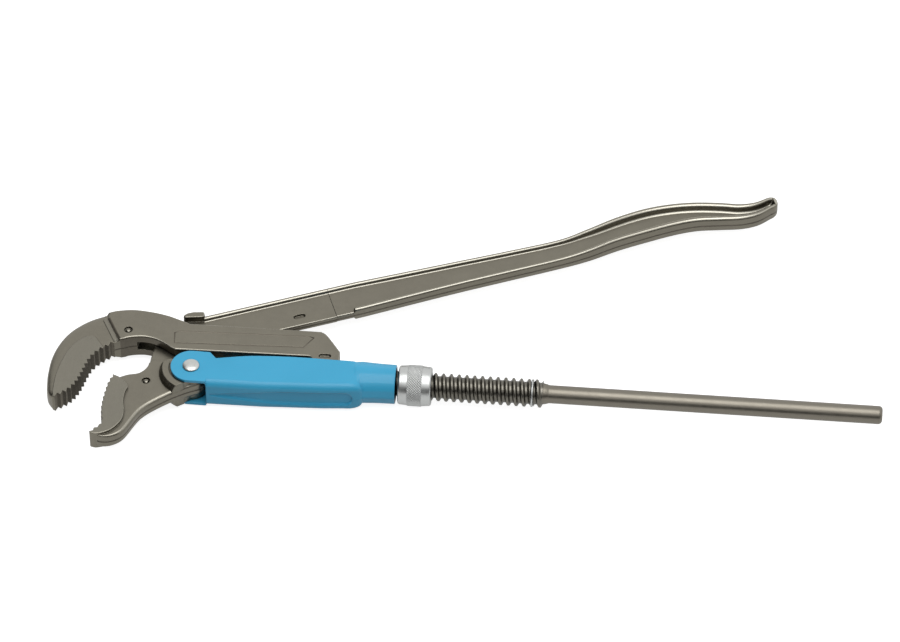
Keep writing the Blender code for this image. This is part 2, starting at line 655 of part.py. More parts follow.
def crescent(outer, inner, end_distance):
    """A crescent round the pivot, with a round tip above and a straight end along the lower edge."""
    middle, half_width = (outer + inner) / 2, (outer - inner) / 2
    start = SHOULDER_START_ANGLE
    ends = [SHOULDER_END_ANGLE - math.degrees(math.acos(min(1.0, end_distance / radius)))
            for radius in (outer, inner)]
    tip = (middle * math.cos(math.radians(start)), middle * math.sin(math.radians(start)))
    return (arc((0.0, 0.0), outer, start, ends[0], 14) + arc((0.0, 0.0), inner, ends[1], start, 12)
            + arc(tip, half_width, start - 180, start, 6)[1:-1])


def shoulder(name):
    """The raised shoulder that the housing's ear nests in, drafted on its outside."""
    wide = crescent(SHOULDER_OUTER, SHOULDER_INNER, SHOULDER_END_DISTANCE)
    narrow = crescent(SHOULDER_OUTER - SHOULDER_DRAFT, SHOULDER_INNER + 0.4, SHOULDER_END_DISTANCE)
    half = SHOULDER_HALF_HEIGHT
    levels = [(-half, narrow), (-half / 2, wide), (half / 2, wide), (half, narrow)]
    return loft(name, [[(x, y, z) for x, y in outline] for z, outline in levels])


def rib_outline():
    """The raised rib along the blade's top edge, as (x, y, inset at its crest)."""
    foot = FLANGE_WIDTH / math.cos(math.atan(BLADE_TOP_SLOPE))
    inset = FLANGE_WIDTH - FLANGE_CREST_IN
    start = (1.5, blade_top(1.5))
    end = (SEAM_TOP[0] + 1.7, blade_top(SEAM_TOP[0] + 1.7))
    return [(start[0], start[1] - foot, inset), (end[0], end[1] - foot, inset),
            (SEAM_TOP[0], SEAM_TOP[1], FLANGE_CREST_OUT), (start[0], start[1], FLANGE_CREST_OUT)]


def nub_outline():
    """The stop lug at the rib's start, as (x, y, inset)."""
    return [(-11.0, 49.0, 1.0), (-9.6, 47.4, 0.6), (2.6, 49.0, 0.6), (3.2, 51.6, 0.8), (1.6, 54.2, 1.2),
            (-4.8, 53.6, 1.2), (-10.6, 50.6, 1.2)]


def lower_jaw(steel, rivet_hole):
    jaw = place(forged("lower_jaw", jaw_body_outline(), LEVER_THICKNESS / 2,
                       [(0.0, 0.0), (0.86, 0.45), (1.0, 1.0)]), PARTS)
    blade = prism("blade_forging", blade_outline(), -BLADE_THICKNESS / 2, BLADE_THICKNESS / 2)
    combine(jaw, place(blade, TOOLS), "UNION")
    plate = forged("jaw_plate_forging", jaw_plate_outline(), JAW_PLATE_THICKNESS / 2,
                   [(0.0, 0.0), (0.94, 0.0), (1.0, 1.0)])
    combine(jaw, place(plate, TOOLS), "UNION")
    pad = crescent(SHOULDER_OUTER - SHOULDER_DRAFT, BOSS_RADIUS - 2.0, SHOULDER_END_DISTANCE + 0.2)
    combine(jaw, place(prism("boss_pad", pad, -LEG_HALF, LEG_HALF), TOOLS), "UNION")
    boss = turned("pivot_boss", [(LEG_HALF, 0.0), (LEG_HALF, BOSS_RADIUS), (-LEG_HALF, BOSS_RADIUS),
                                 (-LEG_HALF, 0.0)], 32, along_x=False)
    combine(jaw, place(boss, TOOLS), "UNION")
    combine(jaw, place(shoulder("shoulder_forging"), TOOLS), "UNION")
    rib = forged("rib_forging", rib_outline(), FLANGE_THICKNESS / 2,
                 [(0.0, 0.0), (0.6, 0.02), (0.76, 0.6), (1.0, 1.0)])
    combine(jaw, place(rib, TOOLS), "UNION")
    nub = forged("nub_forging", nub_outline(), NUB_THICKNESS / 2, [(0.0, 0.0), (0.8, 0.15), (1.0, 1.0)])
    combine(jaw, place(nub, TOOLS), "UNION")
    combine(jaw, rivet_hole)
    for side in (-1, 1):
        combine(jaw, dimple_cutter(f"jaw_dimple_cutter_{side}", -29.1, -10.0, side, LEVER_THICKNESS / 2))
        combine(jaw, slot_mark_cutter(f"blade_mark_cutter_{side}", 66.2, 59.2, 22.0, side,
                                      BLADE_THICKNESS / 2))
    return finish(jaw, steel, 28)


def handle_stations():
    """Pairs of top and bottom edge points along the lever's handle, from the weld to the tip."""
    return [((163.7, 117.0), (165.8, 93.6)), ((199.7, 130.5), (201.6, 108.8)),
            ((234.7, 144.4), (236.9, 123.7)), ((253.6, 155.8), (256.0, 133.0)),
            ((272.7, 168.4), (275.1, 144.6)), ((291.2, 178.2), (295.1, 154.7)),
            ((308.6, 184.1), (312.8, 162.9)), ((325.5, 187.3), (328.2, 168.2)),
            ((342.3, 188.4), (343.8, 170.6)), ((355.9, 188.4), (358.4, 172.8)),
            ((366.1, 190.6), (369.6, 177.2)), ((374.4, 195.4), (378.2, 184.4))]


def handle_ring(top, bottom, half, web, foot, crest_out=FLANGE_CREST_OUT, lower_flange=True):
    """One section across the handle, an I whose flanges have steep flanks with a fillet at their feet."""
    width = math.dist(top, bottom)
    foot = min(foot, width * 0.47)
    inner = foot * FLANGE_CREST_IN / FLANGE_WIDTH
    fillet = (inner + 0.41 * (foot - inner), web + 0.35 * (half - web))
    flange = [(crest_out * 0.15, half * 0.6), (crest_out, half), (inner, half), fillet, (foot, web)]
    section = [(0.0, 0.0)] + flange
    if lower_flange:
        section += [(width - v, z) for v, z in reversed(flange)]
    else:
        section += [(width - v, web) for v in (2.4, 1.8, 1.2, 0.6)] + [(width - 0.2, web * 0.6)]
    section.append((width, 0.0))
    section += [(v, -z) for v, z in section[-2:0:-1]]
    across = ((bottom[0] - top[0]) / width, (bottom[1] - top[1]) / width)
    return [(top[0] + across[0] * v, top[1] + across[1] * v, z) for v, z in section]


def lever_handle(steel):
    along = (0.9166, 0.3998)
    start = [tuple(p[k] + along[k] * WELD_GAP for k in range(2)) for p in (SEAM_TOP, SEAM_BOTTOM)]
    step = [((x, blade_top(x)), (x + 9.5, blade_bottom(x + 9.5))) for x in (92.2, 94.2)]
    web = BLADE_THICKNESS / 2
    size = (FLANGE_THICKNESS / 2, web, FLANGE_WIDTH)
    rings = [handle_ring(*start, *size, lower_flange=False), handle_ring(*step[0], *size, lower_flange=False),
             handle_ring(*step[1], *size)]
    pairs = [((100.0, blade_top(100.0)), (109.0, blade_bottom(109.0)))] + handle_stations()
    tops = smooth([p[0] for p in pairs], 2)
    bottoms = smooth([p[1] for p in pairs], 2)
    for top, bottom in zip(tops, bottoms):
        grip = min(max((top[0] - 232.0) / 40.0, 0.0), 1.0)
        half = (FLANGE_THICKNESS + (GRIP_FLANGE_THICKNESS - FLANGE_THICKNESS) * grip) / 2
        foot = FLANGE_WIDTH + (GRIP_FLANGE_WIDTH - FLANGE_WIDTH) * grip
        rings.append(handle_ring(top, bottom, half, web, foot))
    centre = tuple((tops[-1][k] + bottoms[-1][k]) / 2 for k in range(2))
    for ahead, spread, share in [(1.2, 0.99, 1.0), (2.8, 0.93, 0.96), (4.6, 0.76, 0.84), (6.0, 0.5, 0.68),
                                 (6.5, 0.24, 0.5)]:
        ends = [tuple(centre[k] + (p[k] - centre[k]) * spread + (0.86, 0.51)[k] * ahead for k in range(2))
                for p in (tops[-1], bottoms[-1])]
        half = GRIP_FLANGE_THICKNESS / 2 * share
        rings.append(handle_ring(*ends, half, half, GRIP_FLANGE_WIDTH * spread, FLANGE_CREST_OUT * spread))
    handle = place(loft("lever_handle", rings), PARTS)
    return finish(handle, steel, 28)


def main():
    clear_scene()
    steel = material("burnished_steel", (0.20, 0.185, 0.155), 0.42, 0.85)
    zinc = material("bright_zinc", (0.62, 0.63, 0.61), 0.28, 1.0)
    paint = material("blue_gloss_paint", (0.045, 0.32, 0.62), 0.25, 0.0)
    upper_jaw(steel)
    threaded_spindle(steel)
    stop_ring(zinc)
    adjusting_nut(zinc)
    _, rivet_hole = housing(paint)
    pivot_rivet(zinc)
    lower_jaw(steel, rivet_hole)
    lever_handle(steel)


main()
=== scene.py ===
# %% [markdown]
# # A Swedish-pattern pipe wrench
#
# The tool is a set of steel forgings, one pressed and painted housing, a plated nut and a plated
# rivet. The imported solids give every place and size, so the wrench could be dressed by giving them
# new materials. Their curves are coarse, though, so each piece is built again here with finer
# curves and rounder edges, in the same place, and takes over from its solid.

import math

import bmesh
import bpy
from mathutils import Matrix, Vector


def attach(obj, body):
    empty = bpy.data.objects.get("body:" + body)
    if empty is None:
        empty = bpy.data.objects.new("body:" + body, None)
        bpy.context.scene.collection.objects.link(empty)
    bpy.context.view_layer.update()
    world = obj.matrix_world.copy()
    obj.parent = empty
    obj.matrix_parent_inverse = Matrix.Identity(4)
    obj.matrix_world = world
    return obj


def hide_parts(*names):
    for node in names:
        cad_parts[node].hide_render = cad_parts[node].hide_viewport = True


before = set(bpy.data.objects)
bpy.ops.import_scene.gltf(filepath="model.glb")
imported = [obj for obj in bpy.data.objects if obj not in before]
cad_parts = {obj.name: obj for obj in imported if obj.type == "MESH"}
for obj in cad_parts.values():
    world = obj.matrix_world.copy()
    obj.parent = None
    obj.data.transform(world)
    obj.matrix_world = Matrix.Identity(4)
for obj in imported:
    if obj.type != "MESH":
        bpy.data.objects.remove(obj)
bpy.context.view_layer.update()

# Lengths are in millimetres. The wrench lies on Z = 0, with its rivet at X = Y = 0.
MM = 0.001
MID_HEIGHT = 13.85  # the forgings' parting line, above the floor
PIVOT_DROP = 5.5  # how far the rivet lies below the spindle's axis

# %% [markdown]
# ## Camera
#
# The picture was taken with a long lens from above the near side of the tool: the jaws' flat faces
# and their near flanks both show. A long lens far away keeps the parallel lines parallel, which a
# wide lens close by couldn't do.

# %% Camera
CAMERA_TURN = math.radians(4.9)
CAMERA_HEIGHT_ANGLE = math.radians(47.0)
CAMERA_PLACE = (0.3790581, -2.4040100, 2.6724534)
LENS_LENGTH = 216.0

right = Vector((math.cos(CAMERA_TURN), math.sin(CAMERA_TURN), 0.0))
back = Vector((math.sin(CAMERA_TURN) * math.cos(CAMERA_HEIGHT_ANGLE),
               -math.cos(CAMERA_TURN) * math.cos(CAMERA_HEIGHT_ANGLE), math.sin(CAMERA_HEIGHT_ANGLE)))
up = back.cross(right)
camera_data = bpy.data.cameras.new("camera")
camera_data.lens = LENS_LENGTH
camera_data.sensor_width = 36.0
camera_data.clip_end = 50.0
camera = bpy.data.objects.new("camera", camera_data)
turned_towards = Matrix((right, up, back)).transposed().to_4x4()
camera.matrix_world = Matrix.Translation(CAMERA_PLACE) @ turned_towards
bpy.context.scene.collection.objects.link(camera)
bpy.context.scene.camera = camera
bpy.context.scene.view_settings.view_transform = "Standard"
print("camera looks along", -back)

# %% [markdown]
# ## Nodes
#
# Materials here are made of nodes, and a node needs three lines to add, set and join. One helper
# does all three, so that a material reads as a list of what it does.

# %% Node helpers


def feed(tree, node, inputs):
    """Set or join a node's inputs by name or number."""
    for key, value in inputs.items():
        if isinstance(value, bpy.types.NodeSocket):
            tree.links.new(value, node.inputs[key])
        else:
            node.inputs[key].default_value = value
    return node


def put(tree, kind, inputs=None, **options):
    """Add a shader node, set its options and feed its inputs."""
    node = tree.nodes.new("ShaderNode" + kind)
    for option, value in options.items():
        setattr(node, option, value)
    return feed(tree, node, inputs or {})


def calculate(tree, operation, first, second=0.0):
    return put(tree, "Math", {0: first, 1: second}, operation=operation).outputs[0]


def times(tree, first, second):
    return calculate(tree, "MULTIPLY", first, second)


def plus(tree, first, second):
    return calculate(tree, "ADD", first, second)


def remap(tree, value, low, high, to_low, to_high):
    """Carry a value from one span to another, with soft ends."""
    node = put(tree, "MapRange", {"Value": value, "From Min": low, "From Max": high,
                                  "To Min": to_low, "To Max": to_high}, interpolation_type="SMOOTHSTEP")
    return node.outputs["Result"]


def shaded(tree, colour, level):
    """A colour made darker or lighter by a level."""
    return put(tree, "VectorMath", {0: colour, "Scale": level}, operation="SCALE").outputs[0]


def blend_colours(tree, share, first, second):
    return put(tree, "Mix", {0: share, 6: first, 7: second}, data_type="RGBA").outputs[2]


def grain(tree, where, scale, detail, roughness):
    node = put(tree, "TexNoise", {"Vector": where, "Scale": scale, "Detail": detail,
                                  "Roughness": roughness})
    return node.outputs["Fac"]


# %% [markdown]
# ## Floor, background and light
#
# The tool lies on plain white with almost no shadow, and its steel shows a bright soft box
# overhead and a dim room behind the camera. A white floor lit until it clips would light the tool
# from below as well, so the floor shows its white to the camera and to reflections only, on top of
# a pale surface that still takes the shadow.

# %% Background


def dimmed(tree, split, spans, level):
    """1, falling to the level where the direction is past every span of (axis, from, to)."""
    share = 1.0
    for axis, start, end in spans:
        share = times(tree, share, remap(tree, split.outputs[axis], start, end, 0.0, 1.0))
    return remap(tree, share, 0.0, 1.0, 1.0, level)


def studio_world():
    """White to the camera. Reflections also see a room that is dim in three directions."""
    world = bpy.data.worlds.new("studio")
    world.use_nodes = True
    tree = world.node_tree
    tree.nodes.clear()
    towards = put(tree, "SeparateXYZ", {0: put(tree, "TexCoord").outputs["Generated"]})
    near_dim = dimmed(tree, towards, [("Y", -0.25, -0.55), ("Z", 0.66, 0.5)], 0.1)
    left_dim = dimmed(tree, towards, [("X", -0.42, -0.88), ("Z", 0.75, 0.4)], 0.22)
    corner_dim = dimmed(tree, towards, [("X", -0.22, -0.46), ("Y", 0.64, 0.5), ("Z", 0.9, 0.7)], 0.2)
    seen_level = times(tree, times(tree, near_dim, left_dim), corner_dim)
    rays = put(tree, "LightPath").outputs
    white, room, fill = [put(tree, "Background", {"Color": (1, 1, 1, 1), "Strength": level}).outputs[0]
                         for level in (1.0, seen_level, times(tree, near_dim, 0.7))]
    clear = calculate(tree, "MAXIMUM", rays["Is Camera Ray"], rays["Is Transmission Ray"])
    reflected = put(tree, "MixShader", {0: rays["Is Glossy Ray"], 1: fill, 2: room}).outputs[0]
    chosen = put(tree, "MixShader", {0: clear, 1: reflected, 2: white}).outputs[0]
    put(tree, "OutputWorld", {"Surface": chosen})
    bpy.context.scene.world = world
    return world


print("background:", studio_world().name)

# %% Floor
FLOOR_REACH = 6.0


def studio_floor():
    mesh = bpy.data.meshes.new("floor")
    bm = bmesh.new()
    bmesh.ops.create_grid(bm, x_segments=2, y_segments=2, size=FLOOR_REACH)
    bm.to_mesh(mesh)
    bm.free()
    floor = bpy.data.objects.new("floor", mesh)
    bpy.context.scene.collection.objects.link(floor)
    skin = bpy.data.materials.new("white_floor")
    skin.use_nodes = True
    tree = skin.node_tree
    tree.nodes.clear()
    rays = put(tree, "LightPath").outputs
    clear = calculate(tree, "MAXIMUM", rays["Is Camera Ray"], rays["Is Transmission Ray"])
    level = plus(tree, times(tree, clear, 0.87), times(tree, rays["Is Glossy Ray"], 0.42))
    surface = put(tree, "BsdfDiffuse", {"Color": (0.5, 0.5, 0.5, 1)})
    glow = put(tree, "Emission", {"Color": (1, 1, 1, 1), "Strength": level})
    both = put(tree, "AddShader", {0: surface.outputs[0], 1: glow.outputs[0]})
    put(tree, "OutputMaterial", {"Surface": both.outputs[0]})
    mesh.materials.append(skin)


studio_floor()
print("floor:", 2 * FLOOR_REACH, "m square")

# %% Lamps


def soft_box(name, place, target, width, depth, power):
    lamp_data = bpy.data.lights.new(name, "AREA")
    lamp_data.shape = "RECTANGLE"
    lamp_data.size = width
    lamp_data.size_y = depth
    lamp_data.energy = power
    lamp = bpy.data.objects.new(name, lamp_data)
    lamp.location = place
    lamp.rotation_euler = (Vector(target) - Vector(place)).to_track_quat("-Z", "Y").to_euler()
    bpy.context.scene.collection.objects.link(lamp)
    print(name, "gives", power, "W")


soft_box("overhead_box", (0.15, -0.15, 1.7), (0.15, 0.05, 0.0), 1.5, 1.25, 13.0)

# %% [markdown]
# ## Finishes
#
# Five effects come back on several pieces: the blasted skin of a forging, the lines that a turning
# or grinding tool leaves, worn edges with a painted highlight, painted shade in the corners, and bare
# metal with a painted highlight where a face rolls over into its flank. Each one could be painted
# into every material by hand. As a node group it is built once, and every material sets its own values.

# %% A node group's sockets


def new_group(name, inputs, outputs):
    """An empty shader group. Inputs and outputs list (name, kind, value)."""
    group = bpy.data.node_groups.new(name, "ShaderNodeTree")
    for in_out, sockets in (("INPUT", inputs), ("OUTPUT", outputs)):
        for label, kind, value in sockets:
            socket = group.interface.new_socket(label, in_out=in_out, socket_type="NodeSocket" + kind)
            if value is not None:
                socket.default_value = value
    entry = group.nodes.new("NodeGroupInput").outputs
    leave = group.nodes.new("NodeGroupOutput").inputs
    return group, entry, leave


def use_group(tree, group, values):
    node = tree.nodes.new("ShaderNodeGroup")
    node.node_tree = group
    return feed(tree, node, values).outputs


# %% Blasted skin of a forging


def blasted_skin_group():
    """Cloudy tone, fine pits and an uneven gloss, as shot-blasting leaves them."""
    group, entry, leave = new_group(
        "blasted_skin",
        [("Colour", "Color", (0.2, 0.19, 0.16, 1)), ("Clouds", "Float", 0.2), ("Gloss", "Float", 0.4)],
        [("Colour", "Color", None), ("Roughness", "Float", None), ("Height", "Float", None)])
    where = put(group, "TexCoord").outputs["Object"]
    clouds = grain(group, where, 42.0, 3.0, 0.55)
    stains = grain(group, where, 260.0, 3.0, 0.6)
    pits = grain(group, where, 1500.0, 2.0, 0.6)
    tone = plus(group, times(group, clouds, 0.6), times(group, stains, 0.4))
    swing = times(group, calculate(group, "SUBTRACT", tone, 0.5), entry["Clouds"])
    speckle = times(group, calculate(group, "SUBTRACT", pits, 0.5), 0.22)
    level = plus(group, plus(group, swing, speckle), 1.0)
    group.links.new(shaded(group, entry["Colour"], level), leave["Colour"])
    gloss = times(group, calculate(group, "SUBTRACT", stains, 0.5), 0.22)
    group.links.new(plus(group, gloss, entry["Gloss"]), leave["Roughness"])
    group.links.new(pits, leave["Height"])
    return group


BLASTED_SKIN = blasted_skin_group()

# %% Lines of a turning or grinding tool


def tool_lines_group():
    """Fine parallel lines. Stretch is how much the pattern is squeezed along X, Y and Z."""
    group, entry, leave = new_group(
        "tool_lines", [("Stretch", "Vector", (1, 0, 0)), ("Depth", "Float", 0.1)],
        [("Shade", "Float", None), ("Height", "Float", None)])
    where = put(group, "TexCoord").outputs["Object"]
    squeezed = put(group, "VectorMath", {0: where, 1: entry["Stretch"]}, operation="MULTIPLY").outputs[0]
    lines = grain(group, squeezed, 1.0, 2.0, 0.7)
    swing = times(group, calculate(group, "SUBTRACT", lines, 0.5), entry["Depth"])
    group.links.new(plus(group, swing, 1.0), leave["Shade"])
    group.links.new(lines, leave["Height"])
    return group


TOOL_LINES = tool_lines_group()

# %% Worn edges with a painted highlight, and painted shade in corners


def worn_and_sheen_edge_group():
    """Where the surface turns within the radius: a mask for wear and a painted highlight, and the rounded
    normal.
    """
    group, entry, leave = new_group("worn_and_sheen_edge", [("Radius", "Float", 0.0006)],
                                    [("Mask", "Float", None), ("Normal", "Vector", None)])
    rounded = put(group, "Bevel", {"Radius": entry["Radius"]}, samples=4)
    flat = put(group, "NewGeometry").outputs["Normal"]
    same = put(group, "VectorMath", {0: rounded.outputs[0], 1: flat}, operation="DOT_PRODUCT")
    mask = remap(group, same.outputs["Value"], 0.995, 0.86, 0.0, 1.0)
    group.links.new(mask, leave["Mask"])
    group.links.new(rounded.outputs[0], leave["Normal"])
    return group


WORN_AND_SHEEN_EDGE = worn_and_sheen_edge_group()


def painted_corner_shade_group():
    """Painted shade: dark where the metal around closes in, in slots, roots and corners."""
    group, entry, leave = new_group("painted_corner_shade", [("Reach", "Float", 0.003)], [("Unshaded", "Float", None)])
    open_sky = put(group, "AmbientOcclusion", {"Distance": entry["Reach"]}, samples=6)
    # The occlusion is turned into painted shade in the colour.
    group.links.new(remap(group, open_sky.outputs["AO"], 0.25, 0.9, 0.35, 1.0), leave["Unshaded"])
    return group


PAINTED_CORNER_SHADE = painted_corner_shade_group()


def rolled_over_sheen_group():
    """Where a flat face rolls over into its flank: metal kept bright by handling, and a painted highlight
    there.
    """
    group, entry, leave = new_group("rolled_over_sheen", [("Share", "Float", 0.5)], [("Mask", "Float", None)])
    normal = put(group, "TexCoord").outputs["Normal"]
    upright = calculate(group, "ABSOLUTE", put(group, "SeparateXYZ", {0: normal}).outputs["Z"])
    turned_away = remap(group, upright, 0.992, 0.95, 0.0, 1.0)
    before_flank = remap(group, upright, 0.62, 0.8, 0.0, 1.0)
    mask = times(group, turned_away, before_flank)
    group.links.new(times(group, mask, entry["Share"]), leave["Mask"])
    return group


ROLLED_OVER_SHEEN = rolled_over_sheen_group()
print("shared effects:", [group.name for group in bpy.data.node_groups])

# %% [markdown]
# ## Forged steel
#
# The jaws and the lever are shot-blasted and oiled: a warm grey-brown metal that is satin, not
# polished, with bright thin lines where the rounded edges are worn bare and a highlight is painted
# in. One flat metal colour would look like plastic, so the tone, the gloss and the pits all vary.
# The same recipe with other values gives the ground faces, the teeth, the thread and the drawn rod.

# %% Steel materials


def new_skin(name):
    """A new material, its node tree and its shader."""
    skin = bpy.data.materials.new(name)
    skin.use_nodes = True
    return skin, skin.node_tree, skin.node_tree.nodes["Principled BSDF"]


def finish_skin(tree, shader, colour, roughness, relief):
    """Feed the shader. Relief is the bump's strength, depth, height and normal."""
    bump = put(tree, "Bump", dict(zip(("Strength", "Distance", "Height", "Normal"), relief)))
    feed(tree, shader, {"Base Color": colour, "Roughness": roughness, "Normal": bump.outputs[0]})


# Bare steel, for wear and for a painted highlight where faces roll over.
BARE_AND_SHEEN_STEEL = (0.47, 0.45, 0.385, 1)
# How far the painted corner shade reaches on steel.
STEEL_SHADE_REACH = 0.008


def steel(name, colour, gloss, clouds=0.35, edge=0.0007, lines=None, pit=0.35, bright=0.0):
    """A steel finish out of the shared effects. Lines lists (stretch, depth) for a machined face.

    Bright is how far the round edges are rubbed to bare metal and given a painted highlight.
    """
    skin, tree, shader = new_skin(name)
    shader.inputs["Metallic"].default_value = 1.0
    blasted = use_group(tree, BLASTED_SKIN, {"Colour": (*colour, 1), "Clouds": clouds, "Gloss": gloss})
    edge_wear_and_sheen = use_group(tree, WORN_AND_SHEEN_EDGE, {"Radius": edge})
    unshaded = use_group(tree, PAINTED_CORNER_SHADE, {"Reach": STEEL_SHADE_REACH})["Unshaded"]
    tone, rough, height = blasted["Colour"], blasted["Roughness"], blasted["Height"]
    if lines:
        tool = use_group(tree, TOOL_LINES, {"Stretch": lines[0], "Depth": lines[1]})
        tone = shaded(tree, tone, tool["Shade"])
        height = plus(tree, times(tree, tool["Height"], 0.7), height)
    # Painted shade in the corners darkens the tone.
    tone = shaded(tree, tone, unshaded)
    # Every edge, convex or hollow, is lightened: wear, and a painted highlight.
    worn_and_sheen_tone = tuple(min(1.0, c * 1.45) for c in colour)
    tone = blend_colours(tree, times(tree, edge_wear_and_sheen["Mask"], 0.55), tone, (*worn_and_sheen_tone, 1))
    if bright:
        # Faces rolling over into their flanks turn bare and bright: wear, and a painted highlight.
        bare_and_sheen = times(tree, use_group(tree, ROLLED_OVER_SHEEN, {"Share": bright})["Mask"], unshaded)
        tone = blend_colours(tree, bare_and_sheen, tone, BARE_AND_SHEEN_STEEL)
        rough = calculate(tree, "SUBTRACT", rough, times(tree, bare_and_sheen, 0.12))
    finish_skin(tree, shader, tone, rough, (pit, 0.00012, height, edge_wear_and_sheen["Normal"]))
    return skin


FORGED_TONE = (0.202, 0.188, 0.152)
forged_steel = steel("forged_steel", FORGED_TONE, 0.34, bright=0.5)
# The lever's steel has the strongest wear and painted highlight where faces roll over.
handled_and_sheen_steel = steel("handled_and_sheen_steel", FORGED_TONE, 0.34, bright=0.9)
crown_steel = steel("crown_steel", FORGED_TONE, 0.34)
ground_steel = steel("ground_steel", (0.215, 0.203, 0.168), 0.32, 0.2, 0.0003, ((900, 90, 60), 0.08), 0.2)
tooth_steel = steel("tooth_steel", (0.135, 0.122, 0.098), 0.34, 0.3, 0.00015, None, 0.25)
thread_steel = steel("thread_steel", (0.185, 0.175, 0.15), 0.30, 0.3, 0.0003, ((1500, 20, 20), 0.25), 0.3)
rod_steel = steel("rod_steel", (0.215, 0.198, 0.165), 0.36, 0.25, 0.0005, ((1400, 15, 15), 0.08), 0.2)
print("steel finishes:", [skin.name for skin in bpy.data.materials if skin.name.endswith("steel")])

# %% [markdown]
# ## Bright zinc
#
# The nut, the stop ring and the rivet are plated. The nut still shows the fine rings of the lathe
# under its plating, and mirrors the soft box as a white band and the dim room as a dark one.

# %% Zinc materials
# Lighter zinc for the edges: wear, and a painted highlight.
WORN_AND_SHEEN_ZINC = (0.72, 0.73, 0.72, 1)


def zinc(name, colour, gloss, rings, depth):
    skin, tree, shader = new_skin(name)
    shader.inputs["Metallic"].default_value = 1.0
    blasted = use_group(tree, BLASTED_SKIN, {"Colour": (*colour, 1), "Clouds": 0.12, "Gloss": gloss})
    tool = use_group(tree, TOOL_LINES, {"Stretch": rings, "Depth": depth})
    edge_wear_and_sheen = use_group(tree, WORN_AND_SHEEN_EDGE, {"Radius": 0.0003})
    # Painted shade in the corners.
    unshaded = use_group(tree, PAINTED_CORNER_SHADE, {"Reach": 0.0015})["Unshaded"]
    tone = shaded(tree, shaded(tree, blasted["Colour"], tool["Shade"]), unshaded)
    # Edges are lightened: wear, and a painted highlight.
    tone = blend_colours(tree, times(tree, edge_wear_and_sheen["Mask"], 0.25), tone, WORN_AND_SHEEN_ZINC)
    finish_skin(tree, shader, tone, blasted["Roughness"], (0.15, 0.0001, tool["Height"], edge_wear_and_sheen["Normal"]))
    return skin


turned_zinc = zinc("turned_zinc", (0.53, 0.54, 0.53), 0.34, (2600, 12, 12), 0.14)
rivet_zinc = zinc("rivet_zinc", (0.56, 0.57, 0.55), 0.30, (300, 300, 300), 0.15)
print("zinc finishes:", turned_zinc.name, rivet_zinc.name)

# %% [markdown]
# ## Blue paint
#
# The housing is stove-enamelled: an even glossy blue with a faint orange peel, a little lighter
# over its edges, where the paint runs thin and a highlight is painted in, and darker in its corners
# with painted shade. The colour sits in the paint and a clear coat carries the sharp reflection, which
# one rough surface couldn't show together.

# %% Paint material
BLUES = ((0.042, 0.365, 0.60, 1), (0.047, 0.385, 0.63, 1))
# Lighter blue for the edges: thin paint, and a painted highlight.
THIN_AND_SHEEN_BLUE = (0.10, 0.45, 0.74, 1)


def stove_enamel():
    skin, tree, shader = new_skin("blue_enamel")
    shader.inputs["Specular IOR Level"].default_value = 0.3
    shader.inputs["Coat Weight"].default_value = 0.2
    shader.inputs["Coat Roughness"].default_value = 0.1
    where = put(tree, "TexCoord").outputs["Object"]
    peel = grain(tree, where, 420.0, 2.0, 0.4)
    drift = grain(tree, where, 28.0, 2.0, 0.5)
    edge_wear_and_sheen = use_group(tree, WORN_AND_SHEEN_EDGE, {"Radius": 0.0008})
    # Painted shade in the corners.
    unshaded = use_group(tree, PAINTED_CORNER_SHADE, {"Reach": 0.003})["Unshaded"]
    blue = shaded(tree, blend_colours(tree, remap(tree, drift, 0.3, 0.7, 0.0, 1.0), *BLUES), unshaded)
    # Edges are lightened: thin paint, and a painted highlight.
    blue = blend_colours(tree, times(tree, edge_wear_and_sheen["Mask"], 0.35), blue, THIN_AND_SHEEN_BLUE)
    rough = remap(tree, peel, 0.2, 0.8, 0.33, 0.37)
    finish_skin(tree, shader, blue, rough, (0.03, 0.0002, peel, edge_wear_and_sheen["Normal"]))
    return skin


blue_enamel = stove_enamel()
print("paint:", blue_enamel.name)

# %% [markdown]
# ## Shapes
#
# A forging is a flat outline with drafted, rounded edges, so one helper carries an outline from
# face to face through rings. Curved outlines are drawn through a few measured points. Curve
# objects and bevel modifiers would do for an even edge, but not for a draft that changes along the
# outline.

# %% Outline helpers


def smooth(points, steps):
    """A Catmull-Rom curve through the points, its two ends included."""
    curve = []
    for i in range(len(points) - 1):
        a = points[max(i - 1, 0)]
        b, c = points[i], points[i + 1]
        d = points[min(i + 2, len(points) - 1)]
        for s in range(steps):
            t = s / steps
            curve.append(tuple(
                0.5 * (2 * b[k] + (c[k] - a[k]) * t + (2 * a[k] - 5 * b[k] + 4 * c[k] - d[k]) * t ** 2
                       + (3 * b[k] - a[k] - 3 * c[k] + d[k]) * t ** 3)
                for k in range(len(b))))
    curve.append(tuple(points[-1]))
    return curve


def arc(centre, radius, start, end, steps):
    angles = [math.radians(start + (end - start) * i / steps) for i in range(steps + 1)]
    return [(centre[0] + radius * math.cos(a), centre[1] + radius * math.sin(a)) for a in angles]


def drawn_in(curve, inset):
    """Points of an outline whose face is drawn in from the edge."""
    return [(x, y, inset) for x, y in curve]


def stations_along(curve, count):
    """The given number of points plus one, evenly spaced along a curve."""
    lengths = [0.0]
    for a, b in zip(curve, curve[1:]):
        lengths.append(lengths[-1] + math.dist(a, b))
    points = []
    j = 0
    for i in range(count + 1):
        goal = lengths[-1] * i / count
        while j < len(curve) - 2 and lengths[j + 1] < goal:
            j += 1
        t = (goal - lengths[j]) / (lengths[j + 1] - lengths[j])
        points.append(tuple(curve[j][k] + t * (curve[j + 1][k] - curve[j][k]) for k in range(2)))
    return points


